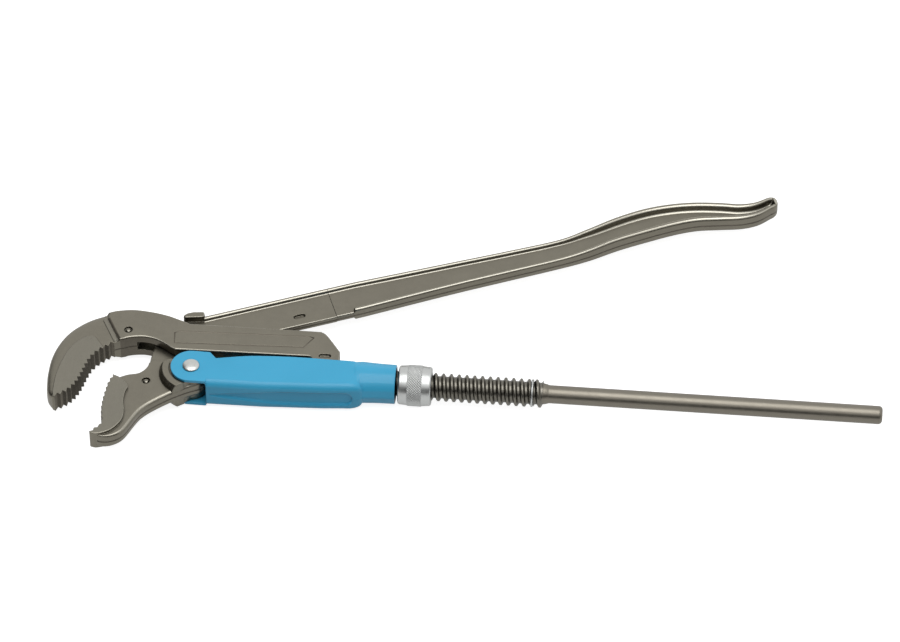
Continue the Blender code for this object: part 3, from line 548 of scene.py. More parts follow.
def toothed_edge(tips, count, depth, lean):
    """A saw-toothed edge through the tips' curve, with the metal on its left."""
    points = stations_along(smooth(tips, 6), count)
    edge = []
    for a, b in zip(points, points[1:]):
        length = math.dist(a, b)
        along = ((b[0] - a[0]) / length, (b[1] - a[1]) / length)
        inward = (-along[1], along[0])
        edge.append(a)
        edge.append(tuple(a[k] + along[k] * length * lean + inward[k] * depth for k in range(2)))
    edge.append(points[-1])
    return edge


# %% Meshes


def mesh_object(name, bm, skins=()):
    bmesh.ops.recalc_face_normals(bm, faces=bm.faces)
    mesh = bpy.data.meshes.new(name)
    bm.to_mesh(mesh)
    bm.free()
    for skin in skins:
        mesh.materials.append(skin)
    obj = bpy.data.objects.new(name, mesh)
    bpy.context.scene.collection.objects.link(obj)
    return obj


def stand(obj, x=0.0, y=0.0, z=MID_HEIGHT):
    """Put a piece at its place in millimetres."""
    obj.location = (x * MM, y * MM, z * MM)
    return obj


def sew(bm, near, far):
    """Faces between two closed rows of points."""
    for i in range(len(near)):
        j = (i + 1) % len(near)
        bm.faces.new((near[i], near[j], far[j], far[i]))


def around(x, radius, angle):
    """A place round the X axis, in metres."""
    return (x * MM, radius * math.cos(angle) * MM, radius * math.sin(angle) * MM)


def loft(name, rings, skins=()):
    """A closed body through rings of (x, y, z) points. Its two ends take the last skin."""
    bm = bmesh.new()
    loops = [[bm.verts.new([c * MM for c in point]) for point in ring] for ring in rings]
    for low, high in zip(loops, loops[1:]):
        sew(bm, low, high)
    for ring in (loops[0], loops[-1]):
        bm.faces.new(ring).material_index = max(0, len(skins) - 1)
    return mesh_object(name, bm, skins)


# %% Forgings


def forging(name, outline, path, skins, teeth=0):
    """A flat forging. The outline lists (x, y, inset); path(inset) lists (height, drawn in).

    The outline's first points can be teeth. Their flanks take the second skin. A point can also
    carry the direction that it is drawn in.
    """
    count = len(outline)
    columns = []
    for i in range(count):
        x, y, inset, *way = outline[i]
        before, after = outline[i - 1], outline[(i + 1) % count]
        dx, dy = after[0] - before[0], after[1] - before[1]
        length = math.hypot(dx, dy) or 1.0
        inward = way[0] if way else (-dy / length, dx / length)
        columns.append([(x + inward[0] * d, y + inward[1] * d, z) for z, d in path(inset)])
    upper = [[column[i] for column in columns] for i in range(len(columns[0]))]
    lower = [[(x, y, -z) for x, y, z in ring] for ring in reversed(upper)]
    obj = loft(name, lower[:-1] + upper, skins)
    for i, face in enumerate(obj.data.polygons):
        if len(face.vertices) == 4 and i % count < teeth - 1:
            face.material_index = 1
    return obj


def oil_parting_line(obj):
    """The groove at mid height holds dark oil."""
    obj.data.materials.append(tooth_steel)
    for face in obj.data.polygons:
        if abs(face.center.z) < 0.6 * MM:
            face.material_index = len(obj.data.materials) - 1
    return obj


# %% Straight and turned bodies


def prism(name, outline, half, skins=()):
    """A straight-sided body over an outline, as far above mid height as below."""
    return loft(name, [[(x, y, z) for x, y in outline] for z in (-half, half)], skins)


def turned(name, profile, steps, skins=(), along_x=True):
    """A turned piece. The profile lists (axial, radius); a closed one makes a ring."""
    closed = profile[0] == profile[-1]
    points = profile[:-1] if closed else profile
    bm = bmesh.new()
    rows = []
    for a, r in points:
        row = []
        for i in range(steps):
            angle = 2 * math.pi * i / steps
            c, s = r * math.cos(angle), r * math.sin(angle)
            row.append(bm.verts.new([v * MM for v in ((a, c, s) if along_x else (c, s, a))]))
            if r == 0:
                break
        rows.append(row)
    pairs = list(zip(rows, rows[1:])) + ([(rows[-1], rows[0])] if closed else [])
    for near, far in pairs:
        for i in range(steps):
            j = (i + 1) % steps
            corners = [near[i % len(near)], near[j % len(near)], far[j % len(far)], far[i % len(far)]]
            corners = list(dict.fromkeys(corners))
            if len(corners) > 2:
                bm.faces.new(corners)
    return mesh_object(name, bm, skins)


# %% Joining, settling and dressing
CUTTERS = []


def join_in(obj, other, operation="DIFFERENCE"):
    """Cut another body out of a piece, or join it on. It goes when the piece is settled."""
    step = obj.modifiers.new(other.name, "BOOLEAN")
    step.operation = operation
    step.solver = "EXACT"
    step.material_mode = "TRANSFER"
    step.object = other
    CUTTERS.append(other)


def settle(obj, angle):
    """Keep the joined shape as a mesh, smooth its curves and keep its corners."""
    bpy.context.view_layer.update()
    evaluated = obj.evaluated_get(bpy.context.evaluated_depsgraph_get())
    mesh = bpy.data.meshes.new_from_object(evaluated)
    obj.modifiers.clear()
    obj.data = mesh
    mesh.name = obj.name
    while CUTTERS:
        bpy.data.objects.remove(CUTTERS.pop(), do_unlink=True)
    mesh.shade_smooth()
    mesh.set_sharp_from_angle(angle=math.radians(angle))
    even = obj.modifiers.new("even_shading", "WEIGHTED_NORMAL")
    even.keep_sharp = True
    print(obj.name, "has", len(mesh.polygons), "faces")
    return obj


def rivet_hole(name):
    return stand(turned(name, [(30.0, 0.0), (30.0, 4.3), (-30.0, 4.3), (-30.0, 0.0)], 40, along_x=False))


def dress(piece, node, body):
    """The piece rides on its body and stands for its solid."""
    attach(piece, body)
    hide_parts(node)


# %% [markdown]
# ## Upper jaw
#
# The fixed leg is one forging: a hook with a thinner, crowned nose, two cheeks and the bridge that
# carries the spindle. An outline's points carry how far the face is drawn in from them. The ramp
# between cheek and nose is only four points that are drawn in furthest, all in one direction,
# because their own directions would cross and crinkle the ramp.

# %% Leg forging
LEG_HALF = 9.5
LEG_TOP = 35.0
LEG_BOTTOM = 11.2
LEG_END = 97.6
BRIDGE_START = 79.0
BRIDGE_HALF_DEPTH = 9.4
NOSE_HALF = 7.3
SLOT_HALF = 3.75
SLOT_START = -39.5
SLOT_WALL = 4.1
ARCH_STEPS = 6
RAMP_DROP = 2.9
RAMP_REACH = 7.4
RAMP_FEET = [(-64.6, 34.2), (-61.3, 27.8), (-57.9, 21.3), (-54.6, 14.9)]
UP_THE_RAMP = (0.887, 0.4615)


def parting_groove(depth):
    return [(0.0, depth), (0.3, depth), (0.65, 0.0)]


def edge_round(half, radius=1.2, steps=6, groove=0.3):
    """A round edge, and the fine groove of the parting line at mid height."""
    def path(inset):
        points = parting_groove(groove)
        for i in range(steps + 1):
            a = i / steps * math.pi / 2
            points.append((half - radius + radius * math.sin(a), inset * (1 - math.cos(a))))
        return points
    return path


def leg_edge(inset):
    """The leg's round edge. Points drawn in by more than 3 mm get the hollow ramp down to the nose."""
    if inset < 3.0:
        return edge_round(LEG_HALF)(inset)
    return parting_groove(0.3) + [(LEG_HALF - RAMP_DROP + RAMP_DROP * (i / 8) ** 1.5, inset * i / 8)
                                  for i in range(9)]


def leg_outline():
    arch = smooth([(-47.5, 17.4), (-45.2, 18.6), (-40.2, 19.8), (-34.1, 20.2), (-27.3, 18.8),
                   (-20.4, 15.3), (-16.0, 12.2), (-12.8, LEG_BOTTOM - 0.6)], ARCH_STEPS)
    hump = smooth([(-5.7, LEG_TOP), (-8.6, 36.4), (-13.7, 38.5), (-21.5, 41.3), (-31.9, 43.5),
                   (-44.3, 44.5), (-55.2, 42.8), (-61.0, 40.5)], 6)
    corner = smooth([(LEG_END - 0.3, 18.0), (LEG_END - 6.5, 27.0), (LEG_END - 11.0, 32.8),
                     (LEG_END - 14.6, LEG_TOP)], 5)
    foot = arc((BRIDGE_START - 2.5, LEG_BOTTOM - 1.6), 2.5, 90, 0, 6)
    points = [(-50.4, 16.6, 0.8)] + drawn_in(arch, 1.2)
    points += [(0.0, LEG_BOTTOM - 0.3, 0.9), (60.0, LEG_BOTTOM + 0.6, 0.9)]
    points += drawn_in(foot, 0.8)
    points += [(BRIDGE_START, 2.0 - BRIDGE_HALF_DEPTH, 0.8), (BRIDGE_START + 2.0, -BRIDGE_HALF_DEPTH, 1.0)]
    points += [(LEG_END, -BRIDGE_HALF_DEPTH, 1.0), (LEG_END, 15.0, 0.9)] + drawn_in(corner, 1.0)
    points += [(40.0, LEG_TOP, 1.0)] + drawn_in(hump, 1.2)
    return points + [(x, y, RAMP_REACH, UP_THE_RAMP) for x, y in RAMP_FEET]


# %% Nose and teeth


def crowned(half):
    """The nose's back: almost upright below, rolling over to the ground face's thin edge."""
    shares = [(0.0, 0.0), (0.3, 0.01), (0.5, 0.035), (0.64, 0.1), (0.75, 0.2), (0.84, 0.38), (0.9, 0.58),
              (0.93, 0.78), (0.945, 0.92), (0.955, 0.955), (0.985, 0.985), (1.0, 1.0)]

    def path(inset):
        return [(half * z, inset * k) for z, k in shares]
    return path


def nose_outline():
    teeth = toothed_edge([(-87.5, -36.4), (-80.1, -31.2), (-75.0, -24.2), (-72.1, -15.9), (-70.0, -7.1),
                          (-67.2, 1.2), (-61.9, 8.3), (-51.2, 17.4)], 16, 2.3, 0.72)
    back = smooth([(-62.9, 41.0, 3.2), (-69.5, 38.8, 9.0), (-76.3, 34.7, 13.2), (-83.9, 27.2, 13.2),
                   (-89.3, 18.5, 11.2), (-93.1, 8.1, 9.6), (-94.9, -1.5, 8.6), (-95.3, -10.7, 7.2),
                   (-95.0, -19.8, 5.8), (-93.2, -31.8, 4.2), (-89.2, -37.0, 1.5)], 6)
    return drawn_in(teeth, 0.0) + [(-46.0, 22.0, 0.0), (-46.0, 37.0, 0.0)] + back


def nose_forging():
    """The strip next to each ground face keeps dark scale, which draws a line round the face."""
    outline, path = nose_outline(), crowned(NOSE_HALF)
    nose = forging("nose", outline, path, [crown_steel, tooth_steel, ground_steel], 33)
    last_strip = 2 * (len(path(0.0)) - 1) - 1
    for i, face in enumerate(nose.data.polygons):
        if i // len(outline) in (1, last_strip - 1):
            face.material_index = 1
    return nose


def unground_part(name, side):
    """The part of the nose between its ground face and the leg, which stays a little lower."""
    edge = smooth([(-58.6, 7.6), (-61.2, 11.4), (-64.2, 15.6), (-67.0, 19.3), (-69.4, 20.3), (-71.8, 19.8),
                   (-74.0, 20.2)], 5)
    corners = edge + [(-78.0, 27.0), (-78.0, 46.0), (-65.0, 46.0), (-64.2, 38.0), (-63.6, 34.7),
                      (-53.6, 15.4), (-51.0, 15.9), (-49.0, 14.0), (-56.0, 4.0)]
    rings = [[(x - shift, y - 0.4 * shift, side * z) for x, y in corners]
             for z, shift in ((NOSE_HALF * 0.953, 0.0), (NOSE_HALF, 0.5), (NOSE_HALF + 1.0, 2.0))]
    return stand(loft(name, rings, [tooth_steel, crown_steel]), y=PIVOT_DROP)


# %% Marks in the forgings


def dimple(name, x, y, side, half):
    """A ring-shaped pit with a round dome left standing in it."""
    profile = [(1.4, 0.0), (1.4, 3.0), (0.0, 2.85), (-0.9, 2.75), (-1.5, 2.6), (-1.7, 2.3), (-1.5, 2.0),
               (-1.0, 1.75), (-0.5, 1.4), (-0.2, 0.9), (-0.1, 0.4), (-0.08, 0.0)]
    pit = turned(name, [(a * side, r) for a, r in profile], 40, along_x=False)
    return stand(pit, x, y, MID_HEIGHT + side * half)


def oval_mark(name, x, y, angle, side, half):
    """A shallow round-ended pit, 8.4 by 3.6 mm."""
    outline = arc((2.4, 0.0), 1.8, -90, 90, 12) + arc((-2.4, 0.0), 1.8, 90, 270, 12)
    levels = [(-1.6, 0.66), (-1.5, 0.78), (-1.1, 0.88), (0.0, 1.0), (1.2, 1.1)]
    pit = loft(name, [[(px * k, py * k, z * side) for px, py in outline] for z, k in levels])
    pit.rotation_euler = (0.0, 0.0, math.radians(angle))
    return stand(pit, x, y, MID_HEIGHT + side * half)


def panel_body(name, side, levels):
    """The long field on the cheek as a body through levels of (height above the face, grown by)."""
    corners = [(-13.7, 16.4), (72.4, 19.6), (78.6, 28.6), (75.4, 29.4), (-11.5, 27.0), (-14.5, 25.5)]
    outward = [(-0.7, -1.0), (0.5, -1.0), (1.2, 0.2), (0.6, 1.0), (-0.6, 1.0), (-1.2, 0.2)]
    rings = [[(x + grow * ox, y + grow * oy, side * (LEG_HALF + rise))
              for (x, y), (ox, oy) in zip(corners, outward)] for rise, grow in levels]
    return loft(name, rings, [tooth_steel])


def panel_groove(name, side):
    """The fine groove round the long field."""
    groove = panel_body(name, side, ((-0.45, 0.2), (0.0, 0.55), (1.0, 1.4)))
    middle = panel_body(name + "_middle", side, ((-1.0, 0.0), (-0.45, -0.1), (0.0, -0.35), (2.0, -1.6)))
    join_in(groove, middle)
    return stand(settle(groove, 30), y=PIVOT_DROP)


# %% Upper jaw


def leg_forging():
    """The arch's wall and the ramp take the dark tooth steel as painted shade."""
    outline = leg_outline()
    leg = oil_parting_line(forging("upper_jaw_forging", outline, leg_edge, [forged_steel]))
    arch_faces = 7 * ARCH_STEPS
    for i, face in enumerate(leg.data.polygons):
        column, flat = i % len(outline), abs(face.normal.z)
        in_arch = column < arch_faces and flat < 0.5
        on_ramp = column >= len(outline) - len(RAMP_FEET) and 0.5 < flat < 0.93
        # Painted shade on the arch's wall and the ramp.
        if in_arch or on_ramp:
            face.material_index = 1
    return leg


def upper_jaw():
    panels = [panel_groove(f"panel_{side}", side) for side in (-1, 1)]
    nose = nose_forging()
    body = stand(leg_forging(), y=PIVOT_DROP)
    join_in(body, stand(nose, y=PIVOT_DROP), "UNION")
    slot = [(SLOT_START, -30.0), (BRIDGE_START - 3.0, -30.0), (BRIDGE_START - 3.0, LEG_BOTTOM - 1.0),
            (BRIDGE_START + 5.0, LEG_BOTTOM + 3.0), (LEG_END - SLOT_WALL, LEG_TOP - 11.0),
            (LEG_END - SLOT_WALL, LEG_TOP + 20.0), (SLOT_START, LEG_TOP + 20.0)]
    join_in(body, stand(prism("leg_slot", slot, SLOT_HALF), y=PIVOT_DROP))
    for panel, side in zip(panels, (-1, 1)):
        join_in(body, unground_part(f"unground_{side}", side))
        join_in(body, panel)
        join_in(body, dimple(f"leg_dimple_{side}", -45.9, 31.1, side, LEG_HALF))
        join_in(body, oval_mark(f"leg_mark_{side}", LEG_END - 10.0, 18.5, 2.0, side, LEG_HALF))
    return settle(body, 30)


dress(upper_jaw(), "upper_jaw", "fixed_leg")

# %% [markdown]
# ## Spindle
#
# The thread is rolled, so its crests are rounded; they are rubbed bright and carry a painted highlight,
# and its roots get painted shade. A screw modifier would make the helix, but not its flat ends, so the
# points are laid on the helix one by one and those past an end are pulled back to it.

# %% Thread
THREAD_PITCH = 5.2
ROOT = 7.4
CREST = 9.4


def thread_profile(clearance=0.0):
    """The thread's section over one pitch, as (share of pitch, radius)."""
    w = clearance / 2 / THREAD_PITCH
    c, r = CREST + clearance, ROOT + clearance
    return [(-0.02 - w, c - 0.45), (0.02 - w, c - 0.14), (0.07, c - 0.02), (0.12, c), (0.18, c),
            (0.23, c - 0.02), (0.28 + w, c - 0.14), (0.32 + w, c - 0.45), (0.44 + w, r + 0.34),
            (0.49 + w, r + 0.08), (0.55, r), (0.73, r), (0.79 - w, r + 0.08), (0.84 - w, r + 0.34),
            (0.98 - w, c - 0.45)]


def threaded_bar(name, start, end, facets, clearance=0.0, skins=()):
    """A bar with the right-hand thread along X, flat at both ends."""
    profile = thread_profile(clearance)
    first_share = profile[0][0]

    def radius_at(share):
        share = (share - first_share) % 1.0 + first_share
        for (a, ra), (b, rb) in zip(profile, profile[1:]):
            if share <= b:
                return ra + (rb - ra) * max(share - a, 0.0) / (b - a)
        return profile[-1][1]

    bm = bmesh.new()
    known = {}

    def corner(index, which):
        turn = index / facets
        x = THREAD_PITCH * (turn + profile[which][0])
        clamped = min(max(x, start), end)
        radius = profile[which][1] if clamped == x else radius_at(clamped / THREAD_PITCH - turn)
        key = (index % facets, round(clamped, 6))
        if key not in known:
            known[key] = bm.verts.new(around(clamped, radius, 2 * math.pi * (index % facets) / facets))
        return known[key]

    first, last = math.floor(start / THREAD_PITCH) - 1, math.ceil(end / THREAD_PITCH)
    for index in range(first * facets, last * facets):
        for which in range(len(profile) - 1):
            quad = [corner(index, which), corner(index, which + 1),
                    corner(index + 1, which + 1), corner(index + 1, which)]
            face = list(dict.fromkeys(quad))
            if len(face) > 2:
                bm.faces.new(face)
    bmesh.ops.holes_fill(bm, edges=[e for e in bm.edges if e.is_boundary], sides=0)
    return mesh_object(name, bm, skins)


# %% Spindle and stop ring
SPINDLE_START = LEG_END + 0.3
THREAD_END = 234.5
THREAD_FACETS = 40
ROD_END = 460.0
ROD_RADIUS = 6.1
ROD_END_ROUND = 2.6
RING_X = THREAD_END - 7.1
RING_GROOVE_HALF = 1.1
WIRE_RADIUS = 0.8


def spindle():
    bar = threaded_bar("spindle_bar", SPINDLE_START, THREAD_END, THREAD_FACETS, 0.0, [thread_steel])
    stand(bar, y=PIVOT_DROP)
    end = arc((ROD_END - ROD_END_ROUND, ROD_RADIUS - ROD_END_ROUND), ROD_END_ROUND, 0, 90, 9)
    cone = smooth([(THREAD_END + 5.6, ROD_RADIUS), (THREAD_END + 4.2, ROD_RADIUS + 0.04),
                   (THREAD_END + 2.6, ROD_RADIUS + 0.5), (THREAD_END + 1.0, ROOT - 0.45),
                   (THREAD_END - 0.2, ROOT - 0.2)], 5)
    profile = [(ROD_END, 0.0)] + end + cone + [(THREAD_END - 4.0, ROOT - 1.5), (THREAD_END - 4.0, 0.0)]
    join_in(bar, stand(turned("rod", profile, 56, [rod_steel]), y=PIVOT_DROP), "UNION")
    floor, low, high = ROOT - 0.2, RING_X - RING_GROOVE_HALF, RING_X + RING_GROOVE_HALF
    groove = [(high, floor), (high, 20.0), (low, 20.0), (low, floor), (high, floor)]
    join_in(bar, stand(turned("ring_groove", groove, 56), y=PIVOT_DROP))
    return settle(bar, 34)


def stop_ring():
    """A sprung wire ring, with the small gap that lets it open."""
    path = ROOT + 0.3 + WIRE_RADIUS
    last = 96
    bm = bmesh.new()
    rows = []
    for i in range(last + 1):
        wire = WIRE_RADIUS * (1.0 if 0 < i < last else 0.7)
        turns = [2 * math.pi * j / 16 for j in range(16)]
        rows.append([bm.verts.new(around(wire * math.sin(b), path + wire * math.cos(b),
                                         math.radians(62 + 352 * i / last))) for b in turns])
    for near, far in zip(rows, rows[1:]):
        sew(bm, near, far)
    bm.faces.new(rows[0])
    bm.faces.new(rows[-1])
    return settle(stand(mesh_object("stop_ring_wire", bm, [turned_zinc]), x=RING_X, y=PIVOT_DROP), 50)


dress(spindle(), "threaded_spindle", "fixed_leg")
dress(stop_ring(), "stop_ring", "fixed_leg")

# %% [markdown]
# ## Adjusting nut
#
# Two smooth cones with a raised knurled band between them. A knurl could be a bump in the material,
# but its diamonds show on the nut's outline, so the band's points follow a formula: two sets of
# slanting grooves, and the lower of the two at each point.

# %% Knurl
NUT_START = 138.2
NUT_LENGTH = 22.1
KNURL_DIAMONDS = 52
KNURL_DEPTH = 0.42
KNURL_LEAD = 1.75
THREAD_CLEARANCE = 0.35


def saw(value):
    """0 at whole numbers and 1 halfway between them."""
    return 1.0 - abs(2.0 * (value % 1.0) - 1.0)


def knurl_drop(angle, along):
    """How far the surface lies below the diamonds' tips."""
    turns = angle / (2 * math.pi) * KNURL_DIAMONDS
    slant = along / KNURL_LEAD
    tip = min(1.0, 1.7 * saw(turns + slant), 1.7 * saw(turns - slant))
    return KNURL_DEPTH * (1.0 - tip)


# %% Nut body


def adjusting_nut():
    half = [(0.0, 6.4), (0.0, 11.8), (0.12, 12.2), (0.4, 12.6), (0.8, 12.85), (1.3, 13.0), (6.2, 13.42)]
    band = [6.3 + 9.5 * i / 44 for i in range(45)]
    profile = [(NUT_LENGTH - a, r, False) for a, r in half]
    profile += [(a, 13.8, True) for a in reversed(band)] + [(a, r, False) for a, r in half[::-1]]
    bm = bmesh.new()
    steps = KNURL_DIAMONDS * 8
    rows = []
    for a, r, knurled in profile:
        angles = [2 * math.pi * i / steps for i in range(steps)]
        rows.append([bm.verts.new(around(a, r - (knurl_drop(angle, a) if knurled else 0.0), angle))
                     for angle in angles])
    for near, far in zip(rows, rows[1:] + rows[:1]):
        sew(bm, near, far)
    nut = stand(mesh_object("adjusting_nut_body", bm, [turned_zinc]), NUT_START, PIVOT_DROP)
    start, end = NUT_START - 2.0, NUT_START + NUT_LENGTH + 2.0
    cutter = threaded_bar("nut_thread", start, end, THREAD_FACETS, THREAD_CLEARANCE, [thread_steel])
    join_in(nut, stand(cutter, y=PIVOT_DROP))
    return settle(nut, 40)


dress(adjusting_nut(), "adjusting_nut", "nut")

# %% [markdown]
# ## Housing
#
# One sheet is pressed into a channel with two ears and a tube round the spindle. A solidified
# surface would need the channel, the neck and the tube sewn together, so the outside and the
# inside are each lofted through sections that turn from a U into a circle, and cut from the side.

# %% Housing sections
SHEET = 2.1
OUTER_HALF = 11.85
TUBE_START = 113.2
TUBE_END = 136.4
TUBE_RADIUS = 13.1
CHANNEL_START = 11.5
NECK_LENGTH = 9.0
BEAD_HALF_WIDTH = 5.6
BEAD_END = 108.8
EAR_RADIUS = 13.5


def channel_floor(x):
    """How far the channel's floor lies below the spindle's axis."""
    places = [(CHANNEL_START - 2.5, 28.0), (CHANNEL_START, 20.0), (48.0, 19.7), (62.0, 19.0), (75.0, 18.4),
              (88.0, 17.8), (100.0, 16.8), (TUBE_START, 15.9)]
    for (a, da), (b, db) in zip(places, places[1:]):
        if x <= b:
            return da + (db - da) * (max(x, a) - a) / (b - a)
    return places[-1][1]


def bead_share(x):
    """The pressed bead's width: a long wedge, then even, and round at its end."""
    start, rounding = CHANNEL_START + 2.0, BEAD_END - BEAD_HALF_WIDTH
    if x <= start or x >= BEAD_END:
        return 0.0
    if x <= rounding:
        return min(1.0, 0.12 + 0.88 * (x - start) / (60.0 - start))
    return math.sqrt(1.0 - ((x - rounding) / BEAD_HALF_WIDTH) ** 2)


def channel_ring(x, wall, top):
    """The channel's section at X, wall thickness taken off, as (y, z) round from the open top."""
    half = OUTER_HALF - wall
    floor = -(channel_floor(x) - wall)
    corner = 5.0 - wall * 0.8
    share = bead_share(x)
    edge = max(BEAD_HALF_WIDTH * share, 0.3)
    rise = 1.5 * min(1.0, share * 2.5)
    soft = min(1.0, edge * 0.6)
    ring = [(top, half * s) for s in (1.0, 0.8, 0.6, 0.4, 0.2, 0.0, -0.2, -0.4, -0.6, -0.8, -1.0)]
    side = [top * 0.75, top * 0.5, top * 0.25, 1.0, -2.0, -5.0, (floor + corner) * 0.85 - 0.6]
    turn = arc((floor + corner, half - corner), corner, 180, 90, 12)
    ring += [(y, -half) for y in side] + [(y, -z) for y, z in reversed(turn)]
    bead = [(0.0, -edge - 0.7), (0.12, -edge - 0.35), (0.5, -edge + soft * 0.5), (0.88, -edge + soft * 0.9),
            (1.0, -edge + soft * 1.3), (1.0, 0.0)]
    ring += [(floor + rise * k, z) for k, z in bead] + [(floor + rise * k, -z) for k, z in bead[-2::-1]]
    return ring + turn + [(y, half) for y in reversed(side)]


def housing_section(x, wall, top, off=0.0):
    """The channel's section, drawn through the neck into the round tube. The tube starts tall."""
    radius = TUBE_RADIUS - wall - off
    tall = 1.0 + 0.1 * min(1.0, max(0.0, (TUBE_END - x) / (TUBE_END - TUBE_START))) ** 2
    points = []
    for y, z in channel_ring(x, wall, top):
        late = min(1.0, max(0.0, -y / 15.0))
        along = (x - (TUBE_START - NECK_LENGTH - 4.0 + 5.5 * late)) / NECK_LENGTH
        share = math.sqrt(1.0 - min(1.0, max(0.0, along)) ** 2)
        reach = math.hypot(y, z)
        points.append((x, y * share + y / reach * radius * tall * (1 - share),
                       z * share + z / reach * radius * (1 - share)))
    return points


def side_shape():
    """The housing from its side: ears, notch, the channel's top edge and the tube."""
    ear = arc((0.0, -PIVOT_DROP), EAR_RADIUS, 90, 262, 48)
    fillet = arc((CHANNEL_START - 1.1, -EAR_RADIUS - PIVOT_DROP - 1.1), 1.1, 90, 0, 8)
    edge = smooth([(TUBE_START - 4.0, 8.0), (100.0, 7.8), (70.0, 8.1), (46.0, 7.2), (33.0, 5.8),
                   (15.8, 2.6)], 8)
    mouth = [(TUBE_START + 0.6, 30.0), (TUBE_START + 0.6, 11.5), (TUBE_START - 1.0, 9.2)]
    return (ear + fillet + [(CHANNEL_START, -40.0), (TUBE_END + 5.0, -40.0), (TUBE_END + 5.0, 30.0)] + mouth
            + edge + [(11.4, EAR_RADIUS - PIVOT_DROP - 0.3)])


# %% Housing


def stations():
    """Where the sections stand: closer together at the bead's round end and at the neck."""
    start = TUBE_START - NECK_LENGTH - 4.0
    neck = [start + 0.45 * i for i in range(34)]
    channel = [CHANNEL_START, CHANNEL_START + 2.0] + [14.0 + 5.0 * i for i in range(17)]
    bead_end = [BEAD_END - BEAD_HALF_WIDTH * (1 - math.sin(math.radians(15 * i))) for i in range(7)]
    return [CHANNEL_START - 2.5] + sorted({round(x, 4) for x in channel + bead_end + neck})


def housing():
    rim = 0.6
    tube = [TUBE_START + 4.0 * i for i in range(1, 6)] + [TUBE_END - rim]
    rings = [housing_section(x, 0.0, 14.0) for x in [-20.0] + stations() + tube]
    rings += [housing_section(TUBE_END - rim + rim * math.sin(a), 0.0, 14.0, rim * (1 - math.cos(a)))
              for a in [math.radians(22.5 * i) for i in range(1, 5)]]
    shell = stand(loft("housing_pressing", rings, [blue_enamel]), y=PIVOT_DROP)
    hollow = [housing_section(x, SHEET, 20.0) for x in [-30.0] + stations() + [TUBE_END + 5.0]]
    join_in(shell, stand(loft("housing_hollow", hollow, [blue_enamel]), y=PIVOT_DROP))
    sides = prism("housing_sides", side_shape(), 18.0, [blue_enamel])
    join_in(shell, stand(sides, y=PIVOT_DROP), "INTERSECT")
    join_in(shell, rivet_hole("ear_hole"))
    return settle(shell, 32)


dress(housing(), "housing", "housing")

# %% [markdown]
# ## Rivet
#
# The rivet's head is a low dome set with a hollow tool, bright against the blue. A turned profile
# gives it, with a soft rim where the head meets the ear.

# %% Rivet


def rivet():
    top, seat = OUTER_HALF + 2.0, OUTER_HALF + 0.3
    head = [(top - 1.7 * (1 - math.cos(math.radians(a))), 5.6 * math.sin(math.radians(a)))
            for a in range(0, 91, 6)]
    profile = head + [(seat, 5.45), (seat, 4.0), (-seat, 4.0), (-seat, 5.6), (-seat - 0.4, 5.6),
                      (-top + 0.25, 3.85), (-top, 3.6), (-top, 0.0)]
    return settle(stand(turned("pivot_rivet_body", profile, 64, [rivet_zinc], along_x=False)), 40)


dress(rivet(), "pivot_rivet", "housing")

# %% [markdown]
# ## Lower jaw
#
# A second forging: the toothed plate, the jaw's body, a boss and a raised shoulder round the pivot,
# and the thin blade that passes through the leg. Each is a flat forging of its own thickness, so
# they are built apart and joined, which leaves the steps that the real one has.

# %% Lower jaw outlines
JAW_HALF = 5.4
PLATE_HALF = 7.3
BLADE_HALF = 2.7
BOSS_RADIUS = 11.0


def blade_bottom(x):
    return 45.9 + 0.4115 * (x - 55.0)


def blade_top(x):
    return 53.5 + 0.4172 * (x - 5.0)


SEAM_TOP = (82.0, blade_top(82.0))
SEAM_BOTTOM = (91.5, blade_bottom(91.5))


def blade_outline():
    hidden = smooth([(-6.0, -9.0), (7.0, -9.5), (12.2, -5.0), (14.2, 1.0), (17.5, 9.0), (23.0, 19.0),
                     (32.0, 30.5), (43.0, 40.4), (55.0, blade_bottom(55.0))], 6)
    front = smooth([(-8.0, 50.2), (-16.5, 43.0), (-23.5, 33.5), (-27.4, 22.8), (-28.9, 9.8),
                    (-28.0, 0.0)], 6)
    return hidden + [SEAM_BOTTOM, SEAM_TOP, (2.0, blade_top(2.0) - 1.0)] + front


def jaw_outline():
    under = smooth([(-58.8, -58.9), (-54.0, -61.9), (-47.6, -61.6), (-41.7, -58.5), (-38.2, -54.5),
                    (-35.8, -49.6), (-33.0, -43.1), (-30.3, -37.8), (-27.8, -34.4), (-24.2, -30.6),
                    (-18.2, -25.4), (-12.4, -20.9), (-9.2, -18.7), (-4.0, -15.4), (1.0, -12.7),
                    (7.0, -9.8), (11.6, -5.0)], 5)
    upper = smooth([(-29.2, 6.5), (-30.0, 2.8), (-32.6, -1.2), (-35.8, -3.6), (-42.3, -5.4),
                    (-48.6, -8.8)], 5)
    last = len(under) - 1
    points = [(x, y, min(2.8, 0.2 + 0.12 * i, 0.4 + 0.14 * (last - i))) for i, (x, y) in enumerate(under)]
    points += [(13.4, 2.0, 0.3), (9.0, 8.0, 0.3), (-14.0, 9.0, 0.3), (-26.0, 8.6, 0.3)]
    points += drawn_in(upper, 0.7)
    return points + [(-47.5, -14.0, 0.0), (-49.0, -30.0, 0.0), (-48.0, -47.0, 0.0), (-56.5, -57.4, 0.0)]


